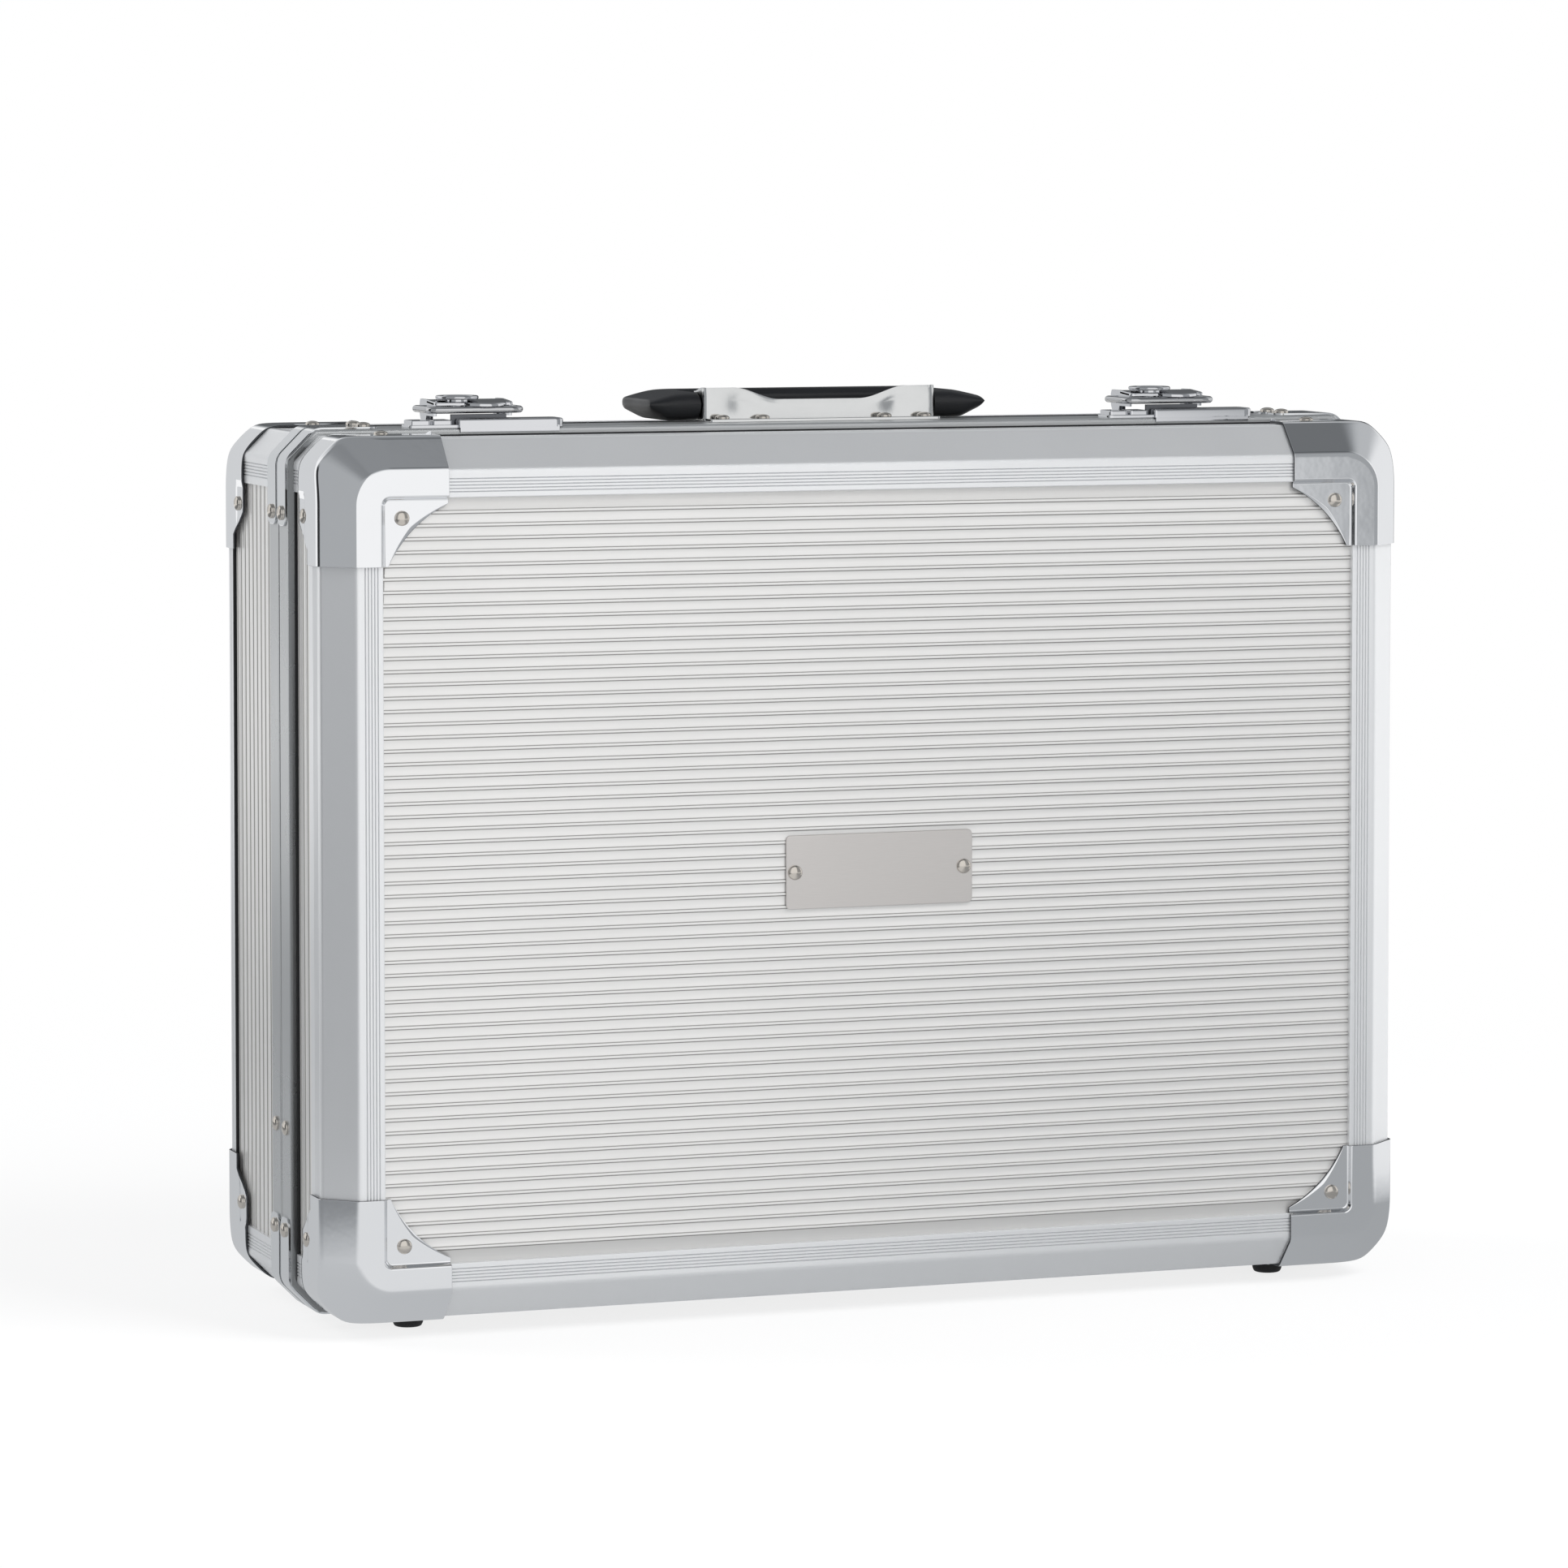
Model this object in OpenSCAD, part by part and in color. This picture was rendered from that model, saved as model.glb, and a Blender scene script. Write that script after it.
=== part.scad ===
// Aluminium tool case: ribbed panels held in bevelled edge profiles, pressed corner
// brackets, a folding handle, two draw latches and a pin hinge along the bottom.
// X runs along the width, -Y is the front of the lid, Z = 0 is under the feet.

/* [Case] */
// Width of the shell, side face to side face
case_w = 450; // [400:1:520]
// Height of the shell, bottom face to top face
case_h = 340; // [300:1:400]
// Depth of the shell, front face to back face
case_d = 155; // [145:1:200]
// Depth of the lid, front face to parting line
lid_d = 60.5; // [58:0.5:66]

/* [Edge profiles] */
// Width of the bevel, measured across the front or back face
bevel_face = 12; // [10:0.5:13]
// Width of the bevel, measured across the side faces
bevel_side = 11; // [10:0.5:12]
// Flat leg on the front or back face, beside the bevel
face_leg = 10.4; // [8:0.1:12]
// Flat leg of the lid's profile on the side faces
lid_leg = 14; // [8:0.5:16]
// Flat leg of the base's profile on the side faces
base_leg = 6.5; // [4:0.5:14]
// Wall thickness of the inner lips of every profile
profile_wall = 1.2; // [1:0.1:1.4]
// Length of the inner lips that hold the boards
slot_lip = 7; // [5:0.5:8]

/* [Corner profiles] */
// Width of the bevel at the four corners of the outline
corner_bevel = 10; // [9:0.5:11]
// Flat legs beside the corner bevel
corner_leg = 11.5; // [8:0.5:12]

/* [Panels] */
// Thickness of the ribbed sheet, over the ribs
sheet_t = 0.9; // [0.8:0.1:1]
// Thickness of the boards in the four sides
side_board_t = 5; // [4:0.1:5]
// Thickness of the front and back boards
face_board_t = 4; // [3:0.1:4]
// Depth of the front and back sheets below the profiles
face_recess = 1.8; // [1.2:0.1:2]
// Depth of the side sheets below the profiles
side_recess = 1.1; // [0.8:0.1:1.3]
// Distance from rib to rib on the front and back
face_rib_pitch = 5.07; // [4.5:0.01:8]
// Distance from rib to rib on the sides
side_rib_pitch = 5.9; // [4.5:0.1:8]
// Width of a rib
rib_w = 1.7; // [1.2:0.1:2]
// Height of a rib
rib_h = 0.35; // [0.2:0.05:0.4]
// Play of a board in its slot
slot_fit = 0.1; // [0.06:0.01:0.2]

/* [Closure profiles] */
// Width of each closure profile along the depth
closure_w = 14; // [13:0.5:16]
// How far the closure profiles stand proud of the shell
closure_proud = 2.2; // [1.5:0.1:2.4]
// Radius of the rounded edges of the closure profiles
closure_bead = 1.2; // [0.8:0.1:1.4]
// Gap between the two closure profiles when the case is shut
parting_gap = 0.3; // [0.2:0.05:0.5]
// Height of the tongue on the base
tongue_h = 3; // [2:0.1:3.2]
// Thickness of the tongue
tongue_t = 1.6; // [1.2:0.1:1.8]
// Thickness of the rubber seal at the bottom of the lid's groove
seal_t = 0.9; // [0.5:0.1:0.9]

/* [Corner brackets] */
// Length of the bracket arms, from the corner of the shell
arm_l = 48.5; // [44:0.5:52]
// Thickness of the pressed sheet of brackets and clips
bracket_t = 1.1; // [0.8:0.1:1.3]
// Reach of the side flaps along the depth
flap_d = 36; // [33:0.5:38]
// Height of the side flaps, from the corner of the shell
flap_h = 33; // [32.5:0.5:35]
// Reach of the narrow strip below a side flap
strip_d = 23; // [20:0.5:26]
// Radius of the bend round the corner, at the edge of the side face
bend_r = 25; // [22:0.5:26]
// Number of flats in the bend
bend_flats = 5; // [3:1:8]
// How far the edge of the front gusset curves in
gusset_sag = 2.9; // [1:0.1:4]
// Length of the closure clips, from the corner of the shell
clip_l = 35; // [33:0.5:38]

/* [Rivets] */
// Diameter of a rivet's head
rivet_d = 5.8; // [5:0.1:6]
// Height of a rivet's head
rivet_h = 1.7; // [1.2:0.1:2]
// Diameter of a rivet's shank
shank_d = 3; // [2.5:0.1:3.2]
// Distance of the corner rivets from the edges of the shell
rivet_in = 30; // [29:0.5:31]
// Height of the stay rivets above the bottom of the shell
stay_rivet_z = 70; // [60:1:90]

/* [Name plate] */
// Width of the name plate
plate_w = 78; // [60:1:90]
// Height of the name plate
plate_h = 29; // [20:1:35]
// Thickness of the name plate
plate_t = 0.8; // [0.5:0.1:1]
// Distance of the plate's two rivets from its sides
plate_rivet_in = 3.6; // [3.4:0.1:12]
// Height of the plate's centre above the middle of the shell
plate_z = -1.8; // [-20:0.1:20]

/* [Handle] */
// Width of the handle bracket
bracket_w = 99; // [94:1:110]
// Height of the bracket's ends above the shell
bracket_z = 15.7; // [15.5:0.1:17]
// Height of the dip in the middle of the bracket
bracket_dip = 10.8; // [9:0.1:12]
// Length of the dip
dip_w = 37; // [30:1:44]
// Distance of the outer rivets from the bracket's ends
handle_rivet_in = 6.5; // [5:0.5:8]
// Distance between the two rivets on each side
handle_rivet_step = 17; // [12:0.5:20]
// Width of the grip, tip to tip
grip_w = 143; // [135:1:160]
// Thickness of the grip
grip_t = 11.3; // [10:0.1:11.4]
// Reach of the grip behind its pivot
grip_reach = 45; // [44:1:46]
// Width of the part that the hand holds
grip_bar = 14; // [12:0.5:15]

/* [Latches] */
// Distance of each latch from the side of the case
latch_in = 78; // [70:1:90]
// Width of the wire bail
bail_w = 40; // [38:1:42]
// Diameter of the bail's wire
wire_d = 2.7; // [2.4:0.1:2.8]
// Diameter of the lock's rim
lock_d = 17; // [12:0.5:17]
// Length of the keeper on the lid
keeper_w = 63; // [56:1:66]
// Width of the keeper along the depth
keeper_d = 12; // [11:0.1:12.4]
// Height of the keeper's raised pad above its foot's underside
pad_h = 3.4; // [2.4:0.1:3.6]
// Length of the raised pad
pad_w = 22; // [16:1:23]

/* [Hinge] */
// Distance of the hinge's ends from the sides of the case
hinge_in = 45; // [40:1:80]
// Number of knuckles, shared by the two leaves
hinge_knuckles = 18; // [10:2:22]
// Outer diameter of a knuckle
knuckle_d = 4.4; // [4:0.1:4.6]
// Diameter of the hinge pin
hinge_pin_d = 2; // [1.6:0.1:2.2]
// Thickness of the hinge leaves
leaf_t = 1; // [0.8:0.1:1.2]
// Width of each leaf from the parting line
leaf_w = 12; // [8:0.5:12.5]

/* [Feet and lining] */
// Height of the feet below the shell
foot_h = 7.5; // [7.2:0.1:10]
// Diameter of a foot
foot_d = 12; // [10:0.5:13]
// Distance of the feet from the sides of the shell
foot_in = 42; // [42:0.5:60]
// Thickness of the lining
lining_t = 2; // [1:0.1:3]
// Cut at the corners of the lining, clear of the bend of the brackets
lining_cut = 6; // [5:0.5:12]

/* [Hidden] */
$fn = 48;

// Where the halves meet, and the middle and top of the shell
base_d = case_d - lid_d;
parting_y = lid_d - case_d / 2;
mid_z = foot_h + case_h / 2;
top_z = foot_h + case_h;

// Slots for sheet and board, measured inwards from the faces of the shell
side_slot = sheet_t + side_board_t + slot_fit;
face_slot = sheet_t + face_board_t + slot_fit;
side_in = side_recess + side_slot;
face_in = face_recess + face_slot;
seat_gap = 1;
side_seat = bevel_side + seat_gap;
face_seat = bevel_face + seat_gap;
corner_seat = corner_bevel + seat_gap;
panel_cut = 12;

// Closure profiles: slot bottom, groove and tongue
closure_seat = 5.3;
closure_lip = 10;
groove_depth = 4.3;
groove_t0 = 2.6;
groove_t1 = 5.8;
tongue_mid = (groove_t0 + groove_t1) / 2 - 0.2;
mitre_gap = 0.05;

// Profiles stop short of the corner, under the brackets
stick_end = 24;

// Depth at which the bend of the bracket has run out into the bevel of the outline
bend_d = (norm([bend_r, bend_r - corner_bevel]) - bend_r + bevel_face)
    * bevel_side / bevel_face;
corner_start = max(side_seat, bend_d) + slot_fit;

// Where the ends of the side panels clear the bend
bend_at = bend_r - bevel_face + side_seat * bevel_face / bevel_side;
bend_u = bend_r - sqrt(max(0, bend_at * bend_at - pow(bend_r - side_recess, 2)));
panel_start = max(corner_seat, bend_u) + 2 * slot_fit;

// Corner brackets: clearance over the profiles
skin_gap = 0.1;
riser = bevel_face + face_leg + skin_gap;
gusset_end = riser + bracket_t + 1;

// Rivets: seats and how deep their shanks go
hole_gap = 0.05;
bracket_out = bracket_t + skin_gap;
gusset_z = face_recess - skin_gap + slot_fit / 2;
clip_mid = closure_w / 2;
clip_out = closure_proud + skin_gap / 2 + clip_t();
function clip_t() = bracket_t - 0.3;

// Handle: pivot of the grip, seen from the parting line and the top of the shell
grip_y = 16.5;
grip_z = 9;
cheek_t = 1.2;
foot_plate_t = 1.2;
upright_y = 8.5;
pin_d = 3;

// Name plate
plate_rivets = plate_w - 2 * plate_rivet_in;

// Latches, seen from the parting line and the top of the shell
latch_x = case_w / 2 - latch_in;
keeper_t = 1.2;
keeper_x = -keeper_w / 2 + 0.5;
keeper_y = -keeper_d - 1;
keeper_block = keeper_w / 8;
lever_y = 7;
lever_z = 9;
bail_r = 3.5;
bail_reach = 11;
bail_offset = -3;
lever_in = 1.3;
cheek_out = bail_w / 2 - wire_d - lever_in;
latch_cheek_t = 1.2;
lever_top = 2.6;
lever_sheet = 1.2;
cheek_low = 6;
ear_r = 2.3;
lever_pin_d = 2.5;
lock_x = -8;
lock_y = -1;

// Hinge axis
hinge_l = case_w - 2 * hinge_in;
hinge_z = foot_h - closure_proud - knuckle_d / 2;
knuckle_l = hinge_l / hinge_knuckles;

// ---------------------------------------------------------------- placing

// Each half is drawn with Y = 0 on its outer face and Y growing to the parting line
module lid_half() {
    translate([0, -case_d / 2, mid_z]) children();
}

module base_half() {
    translate([0, case_d / 2, mid_z]) mirror([0, 1, 0]) children();
}

module both_sides() {
    children();
    mirror([1, 0, 0]) children();
}

module top_and_bottom() {
    children();
    mirror([0, 0, 1]) children();
}

// A corner of the outline: X and Y run inwards along the two faces, Z along the depth
module four_corners() {
    both_sides() top_and_bottom()
        translate([-case_w / 2, 0, case_h / 2]) rotate([-90, 0, 0]) children();
}

// A section drawn as [depth, inward], made a bar along the top or along the side
module along_top(length) {
    translate([-length / 2, 0, case_h / 2]) rotate([90, 0, 90])
        linear_extrude(length) mirror([0, 1, 0]) children();
}

module along_side(length) {
    translate([-case_w / 2, 0, -length / 2])
        linear_extrude(length) mirror([1, -1, 0]) children();
}

// A section drawn as [inward along X, depth] or [inward along Z, depth] at a corner
module across_v(low, high) {
    translate([0, high, 0]) rotate([90, 0, 0]) linear_extrude(high - low) children();
}

module across_u(low, high) {
    translate([low, 0, 0]) rotate([90, 0, 90]) linear_extrude(high - low) children();
}

function arc(c, r, a0, a1, n) =
    [for (i = [0:n]) c + r * [cos(a0 + (a1 - a0) * i / n), sin(a0 + (a1 - a0) * i / n)]];

// ---------------------------------------------------------------- profiles

// Bevelled profile with a slot for a board behind each leg
function profile(bevel, leg, recess, slot) =
    let(
        seat = bevel + [seat_gap, seat_gap],
        inside = recess + slot,
        back = inside + [profile_wall, profile_wall],
        lip = seat + [slot_lip, slot_lip]
    ) [
        [0, bevel.y + leg.y],
        [0, bevel.y],
        [bevel.x, 0],
        [bevel.x + leg.x, 0],
        [bevel.x + leg.x, recess.x],
        [seat.x, recess.x],
        [seat.x, inside.x],
        [lip.x, inside.x],
        [lip.x, back.x],
        [back.y, back.x],
        [back.y, lip.y],
        [inside.y, lip.y],
        [inside.y, seat.y],
        [recess.y, seat.y],
        [recess.y, bevel.y + leg.y]
    ];

// Hollow chamber between the bevel and the slots
function chamber(bevel, recess, slot) =
    let(
        w = profile_wall,
        wall = bevel + [seat_gap - w, seat_gap - w],
        inside = recess + slot,
        c = 1 + w * norm([1 / bevel.x, 1 / bevel.y])
    ) [
        [wall.x, bevel.y * (c - wall.x / bevel.x)],
        [wall.x, inside.x],
        [inside.y, inside.x],
        [inside.y, wall.y],
        [bevel.x * (c - wall.y / bevel.y), wall.y]
    ];

module edge_section(side_leg) {
    bevel = [bevel_side, bevel_face];
    recess = [side_recess, face_recess];
    slot = [side_slot, face_slot];
    difference() {
        polygon(profile(bevel, [side_leg, face_leg], recess, slot));
        polygon(chamber(bevel, recess, slot));
    }
}

module edge_profiles(side_leg) {
    top_and_bottom() along_top(case_w - 2 * stick_end) edge_section(side_leg);
    both_sides() along_side(case_h - 2 * stick_end) edge_section(side_leg);
}

module corner_profiles(depth) {
    bevel = [corner_bevel, corner_bevel];
    recess = [side_recess, side_recess];
    slot = [side_slot, side_slot];
    length = depth - closure_w - corner_start - slot_fit;
    difference() {
        four_corners() translate([0, 0, corner_start])
            linear_extrude(length) difference() {
                polygon(profile(bevel, [corner_leg, corner_leg], recess, slot));
                polygon(chamber(bevel, recess, slot));
            }
        bracket_rivet_holes();
    }
}

// ---------------------------------------------------------------- sheets and boards

// Outer face of a ribbed sheet as [position along the sheet, depth below the ribs]
function ribs(centres, low, high) = concat(
    [[low, rib_h]],
    [for (c = centres, k = [[-0.5, rib_h], [-0.3, 0], [0.3, 0], [0.5, rib_h]])
        [c + k[0] * rib_w, k[1]]],
    [[high, rib_h]]
);

module face_outline(inset) {
    a = case_w / 2 - inset;
    b = case_h / 2 - inset;
    c = panel_cut;
    translate([0, side_in, 0]) rotate([90, 0, 0]) linear_extrude(side_in)
        polygon([[-a + c, -b], [a - c, -b], [a, -b + c], [a, b - c],
                 [a - c, b], [-a + c, b], [-a, b - c], [-a, -b + c]]);
}

module face_sheet() {
    inset = face_seat + slot_fit;
    high = case_h / 2 - inset;
    count = floor((case_h / 2 - bevel_face - face_leg - rib_w) / face_rib_pitch);
    centres = [for (i = [-count:count]) i * face_rib_pitch];
    front = face_recess + slot_fit / 2;
    section = concat([for (p = ribs(centres, -high, high)) [front + p[1], p[0]]],
                     [[front + sheet_t, high], [front + sheet_t, -high]]);
    difference() {
        intersection() {
            face_outline(inset);
            translate([-case_w / 2, 0, 0]) rotate([90, 0, 90])
                linear_extrude(case_w) polygon(section);
        }
        bracket_rivet_holes();
    }
}

module side_sheet_section(depth, side_leg) {
    low = side_seat + slot_fit;
    high = depth - closure_seat - slot_fit;
    first = bevel_side + side_leg + rib_w;
    last = depth - closure_w - rib_w;
    count = floor((last - first) / side_rib_pitch);
    start = (first + last - count * side_rib_pitch) / 2;
    centres = [for (i = [0:count]) start + i * side_rib_pitch];
    front = side_recess + slot_fit / 2;
    polygon(concat([for (p = ribs(centres, low, high)) [p[0], front + p[1]]],
                   [[high, front + sheet_t], [low, front + sheet_t]]));
}

module side_board_section(depth) {
    low = side_seat + slot_fit;
    front = side_recess + slot_fit / 2 + sheet_t;
    translate([low, front])
        square([depth - closure_seat - slot_fit - low, side_board_t]);
}

module side_sheets(depth, side_leg) {
    inset = panel_start;
    difference() {
        union() {
            top_and_bottom() along_top(case_w - 2 * inset)
                side_sheet_section(depth, side_leg);
            both_sides() along_side(case_h - 2 * inset)
                side_sheet_section(depth, side_leg);
        }
        bracket_rivet_holes();
    }
}

module boards(depth) {
    inset = panel_start;
    front = face_recess + slot_fit / 2 + sheet_t;
    difference() {
        union() {
            top_and_bottom() along_top(case_w - 2 * inset) side_board_section(depth);
            both_sides() along_side(case_h - 2 * inset) side_board_section(depth);
            intersection() {
                face_outline(face_seat + slot_fit);
                translate([-case_w / 2, front, -case_h / 2])
                    cube([case_w, face_board_t, case_h]);
            }
        }
        bracket_rivet_holes();
    }
}

// ---------------------------------------------------------------- closure profiles

// Mitred outline of the top bar of a closure, with the outline's corner bevel
function mitre(a, b) =
    let(q = corner_bevel - closure_proud * sqrt(2), k = stick_end, out = 5) [
        [-(a - k - mitre_gap), b - k],
        [-(a - q / 2 - mitre_gap), b - q / 2],
        [-(a - q - out - mitre_gap), b + out],
        [a - q - out - mitre_gap, b + out],
        [a - q / 2 - mitre_gap, b - q / 2],
        [a - k - mitre_gap, b - k]
    ];

module mitred_ring(depth) {
    a = case_w / 2;
    b = case_h / 2;
    top_and_bottom() intersection() {
        along_top(case_w + stick_end) children();
        translate([0, depth + stick_end, 0]) rotate([90, 0, 0])
            linear_extrude(depth + stick_end) polygon(mitre(a, b));
    }
    both_sides() intersection() {
        along_side(case_h + stick_end) children();
        translate([0, depth + stick_end, 0]) rotate([90, 0, 0])
            linear_extrude(depth + stick_end)
                polygon([for (p = mitre(b, a)) [-p[1], p[0]]]);
    }
}

// Section of a closure profile; joint holds the points of its groove or tongue
function closure(depth, joint) =
    let(front = depth - closure_w, face = depth - parting_gap / 2, r = closure_bead,
        top = -closure_proud)
    concat(
        arc([front + r, top + r], r, 180, 270, 4),
        arc([face - r, top + r], r, 270, 360, 4),
        joint,
        [
            [face, side_in + profile_wall],
            [depth - closure_lip, side_in + profile_wall],
            [depth - closure_lip, side_in],
            [depth - closure_seat, side_in],
            [depth - closure_seat, side_recess],
            [front, side_recess]
        ]
    );

module lid_closure_section() {
    face = lid_d - parting_gap / 2;
    polygon(closure(lid_d, [
        [face, groove_t0], [face - groove_depth, groove_t0],
        [face - groove_depth, groove_t1], [face, groove_t1]
    ]));
}

module base_closure_section() {
    face = base_d - parting_gap / 2;
    taper = 0.3;
    polygon(closure(base_d, [
        [face, tongue_mid - tongue_t / 2],
        [face + tongue_h, tongue_mid - tongue_t / 2 + taper],
        [face + tongue_h, tongue_mid + tongue_t / 2 - taper],
        [face, tongue_mid + tongue_t / 2]
    ]));
}

module seal_section() {
    face = lid_d - parting_gap / 2;
    translate([face - groove_depth, groove_t0 + slot_fit / 2])
        square([seal_t, groove_t1 - groove_t0 - slot_fit]);
}

// ---------------------------------------------------------------- rivets

// Domed rivet standing on Z = 0, with its shank below
module rivet(shank_l) {
    r = (rivet_d * rivet_d / 4 + rivet_h * rivet_h) / (2 * rivet_h);
    intersection() {
        translate([0, 0, rivet_h - r]) sphere(r);
        cylinder(h = rivet_h + r, d = rivet_d + 2);
    }
    translate([0, 0, -shank_l]) cylinder(h = shank_l, d = shank_d);
}

module rivet_hole(depth) {
    translate([0, 0, -depth]) cylinder(h = 2 * depth, d = shank_d + 2 * hole_gap);
}

// The three rivets of each corner bracket: front gusset, side flap and top flap
module at_bracket_rivets() {
    four_corners() {
        translate([rivet_in, rivet_in, gusset_z - bracket_t]) rotate([180, 0, 0])
            children();
        translate([-bracket_out, rivet_in, flap_d - 7]) rotate([0, -90, 0]) children();
        translate([rivet_in, -bracket_out, flap_d - 7]) rotate([90, 0, 0]) children();
    }
}

module bracket_rivet_holes() {
    at_bracket_rivets() rivet_hole(side_in);
}

// The rivets of the closure clips, on the side and on the top of each corner
module at_clip_rivets(depth) {
    four_corners() {
        translate([-clip_out, rivet_in, depth - clip_mid]) rotate([0, -90, 0]) children();
        translate([rivet_in, -clip_out, depth - clip_mid]) rotate([90, 0, 0]) children();
    }
}

// The rivets of the inner lid stay, low on both sides
module at_stay_rivets(depth) {
    both_sides()
        translate([-case_w / 2 - closure_proud, depth - clip_mid,
                   stay_rivet_z - case_h / 2])
            rotate([0, -90, 0]) children();
}

module half_rivets(depth) {
    at_bracket_rivets() rivet(side_in - side_recess);
    at_clip_rivets(depth) rivet(clip_out);
    at_stay_rivets(depth) rivet(closure_proud);
}

module closure_rivet_holes(depth) {
    at_clip_rivets(depth) rivet_hole(clip_out + hole_gap);
    at_stay_rivets(depth) rivet_hole(closure_proud + hole_gap);
}

// ---------------------------------------------------------------- corner brackets

// The corner of the shell grown outwards by e, with all its bevels
module corner_body(e) {
    size = 70;
    far = 10;
    lean = norm([1 / bevel_face, 1 / bevel_side]);
    c = 1 - e * lean;
    bevel = [[-far, -far], [bevel_face * (c + far / bevel_side), -far],
             [-far, bevel_side * (c + far / bevel_face)]];
    q = corner_bevel - e * sqrt(2);
    difference() {
        translate([-e, -e, -e]) cube(size);
        across_v(-far, size) polygon(bevel);
        across_u(-far, size) polygon(bevel);
        translate([0, 0, -far]) linear_extrude(size + far)
            polygon([[-far, -far], [q + far, -far], [-far, q + far]]);
        for (turn = [1:bend_flats])
            translate([bend_r, bend_r, 0]) rotate([0, 0, 90 * turn / (bend_flats + 1)])
                translate([-bend_r, -bend_r, 0])
                across_v(-far, size) polygon(bevel);
    }
}

module bracket_area() {
    far = 3;
    thick = 8;
    flap = [[-far, -far], [flap_h, -far], [arm_l, -far], [arm_l, strip_d],
            [arm_l - 6, strip_d], [flap_h, flap_d], [-far, flap_d]];
    l_shape = [[-far, -far], [arm_l, -far], [arm_l, riser + bracket_t],
               [riser + bracket_t, riser + bracket_t],
               [riser + bracket_t, arm_l], [-far, arm_l]];
    translate([0, 0, -far]) linear_extrude(far + side_seat) polygon(l_shape);
    across_u(-far, thick) polygon(flap);
    across_v(-far, thick) polygon(flap);
}

// Lower plate of the front face, resting over the panel inside the profiles
module gusset() {
    chord = (arm_l - gusset_end) / sqrt(2);
    r = (chord * chord + gusset_sag * gusset_sag) / (2 * gusset_sag);
    c = (arm_l + gusset_end) / 2 + (r - gusset_sag) / sqrt(2);
    difference() {
        translate([riser, riser, gusset_z - bracket_t])
            cube([arm_l - riser, arm_l - riser, bracket_t]);
        translate([c, c, -bracket_t]) cylinder(h = 4 * bracket_t, r = r, $fn = 180);
    }
    for (k = [0, 1]) mirror([k, -k, 0])
        translate([riser, riser, -bracket_out])
            cube([bracket_t, arm_l - riser, gusset_z + bracket_out]);
}

module corner_brackets() {
    difference() {
        four_corners() {
            intersection() {
                bracket_area();
                difference() {
                    corner_body(bracket_out);
                    corner_body(skin_gap);
                }
            }
            gusset();
        }
        bracket_rivet_holes();
    }
}

// Folded strip round a corner of the closure profile
module closure_clips(depth) {
    in = closure_proud + skin_gap / 2;
    q_out = corner_bevel - clip_out * sqrt(2) + clip_out;
    q_in = corner_bevel - in * sqrt(2) + in;
    difference() {
        four_corners() translate([0, 0, depth - closure_w + closure_bead])
            linear_extrude(closure_w - 2 * closure_bead)
                polygon([[-clip_out, clip_l], [-clip_out, q_out], [q_out, -clip_out],
                         [clip_l, -clip_out], [clip_l, -in], [q_in, -in],
                         [-in, q_in], [-in, clip_l]]);
        closure_rivet_holes(depth);
    }
}

// ---------------------------------------------------------------- lining, feet, plate

module lining_outline(inset) {
    a = case_w / 2 - inset;
    b = case_h / 2 - inset;
    c = lining_cut;
    rotate([90, 0, 0]) linear_extrude(case_d)
        polygon([[-a + c, -b], [a - c, -b], [a, -b + c], [a, b - c],
                 [a - c, b], [-a + c, b], [-a, b - c], [-a, -b + c]]);
}

module lining(depth) {
    out = side_in + profile_wall + skin_gap;
    floor_y = face_in + profile_wall + skin_gap;
    deep = depth - floor_y - 2;
    difference() {
        intersection() {
            translate([0, case_d, 0]) lining_outline(out);
            translate([-case_w, floor_y, -case_h]) cube([2 * case_w, deep, 2 * case_h]);
        }
        translate([0, floor_y + lining_t + case_d, 0]) lining_outline(out + lining_t);
    }
}

module feet(y) {
    seat = side_recess + slot_fit / 2;
    both_sides()
        translate([case_w / 2 - foot_in, y, -case_h / 2 - foot_h])
            union() {
                cylinder(h = 2, r1 = foot_d / 2 - 1, r2 = foot_d / 2);
                translate([0, 0, 2]) cylinder(h = foot_h + seat - 2, d = foot_d);
            }
}

module at_plate_rivets() {
    both_sides()
        translate([plate_rivets / 2, face_recess + slot_fit / 2 - plate_t, plate_z])
            rotate([90, 0, 0]) children();
}

// ---------------------------------------------------------------- nodes of the lid

module lid_front_sheet() {
    color("gainsboro") lid_half() difference() {
        face_sheet();
        at_plate_rivets() rivet_hole(face_in);
    }
}

module lid_side_sheets() {
    color("lightgray") lid_half() side_sheets(lid_d, lid_leg);
}

module lid_boards() {
    color("burlywood") lid_half() difference() {
        boards(lid_d);
        at_plate_rivets() rivet_hole(face_in);
    }
}

module lid_edge_profiles() {
    color("silver") lid_half() difference() {
        edge_profiles(lid_leg);
        bracket_rivet_holes();
    }
}

module lid_corner_profiles() {
    color("silver") lid_half() corner_profiles(lid_d);
}

module lid_closure_profiles() {
    color("silver") difference() {
        lid_half() difference() {
            mitred_ring(lid_d) lid_closure_section();
            closure_rivet_holes(lid_d);
        }
        at_latches() keeper_rivets() rivet_hole(closure_proud);
    }
}

module lid_seal() {
    color("dimgray") lid_half() mitred_ring(lid_d) seal_section();
}

module lid_corner_brackets() {
    color("lightsteelblue") lid_half() corner_brackets();
}

module lid_closure_clips() {
    color("whitesmoke") lid_half() closure_clips(lid_d);
}

module lid_rivets() {
    color("wheat") lid_half() half_rivets(lid_d);
}

module lid_lining() {
    color("slategray") lid_half() lining(lid_d);
}

module lid_feet() {
    color("black") lid_half() feet(bevel_side + lid_leg + foot_d);
}

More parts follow.
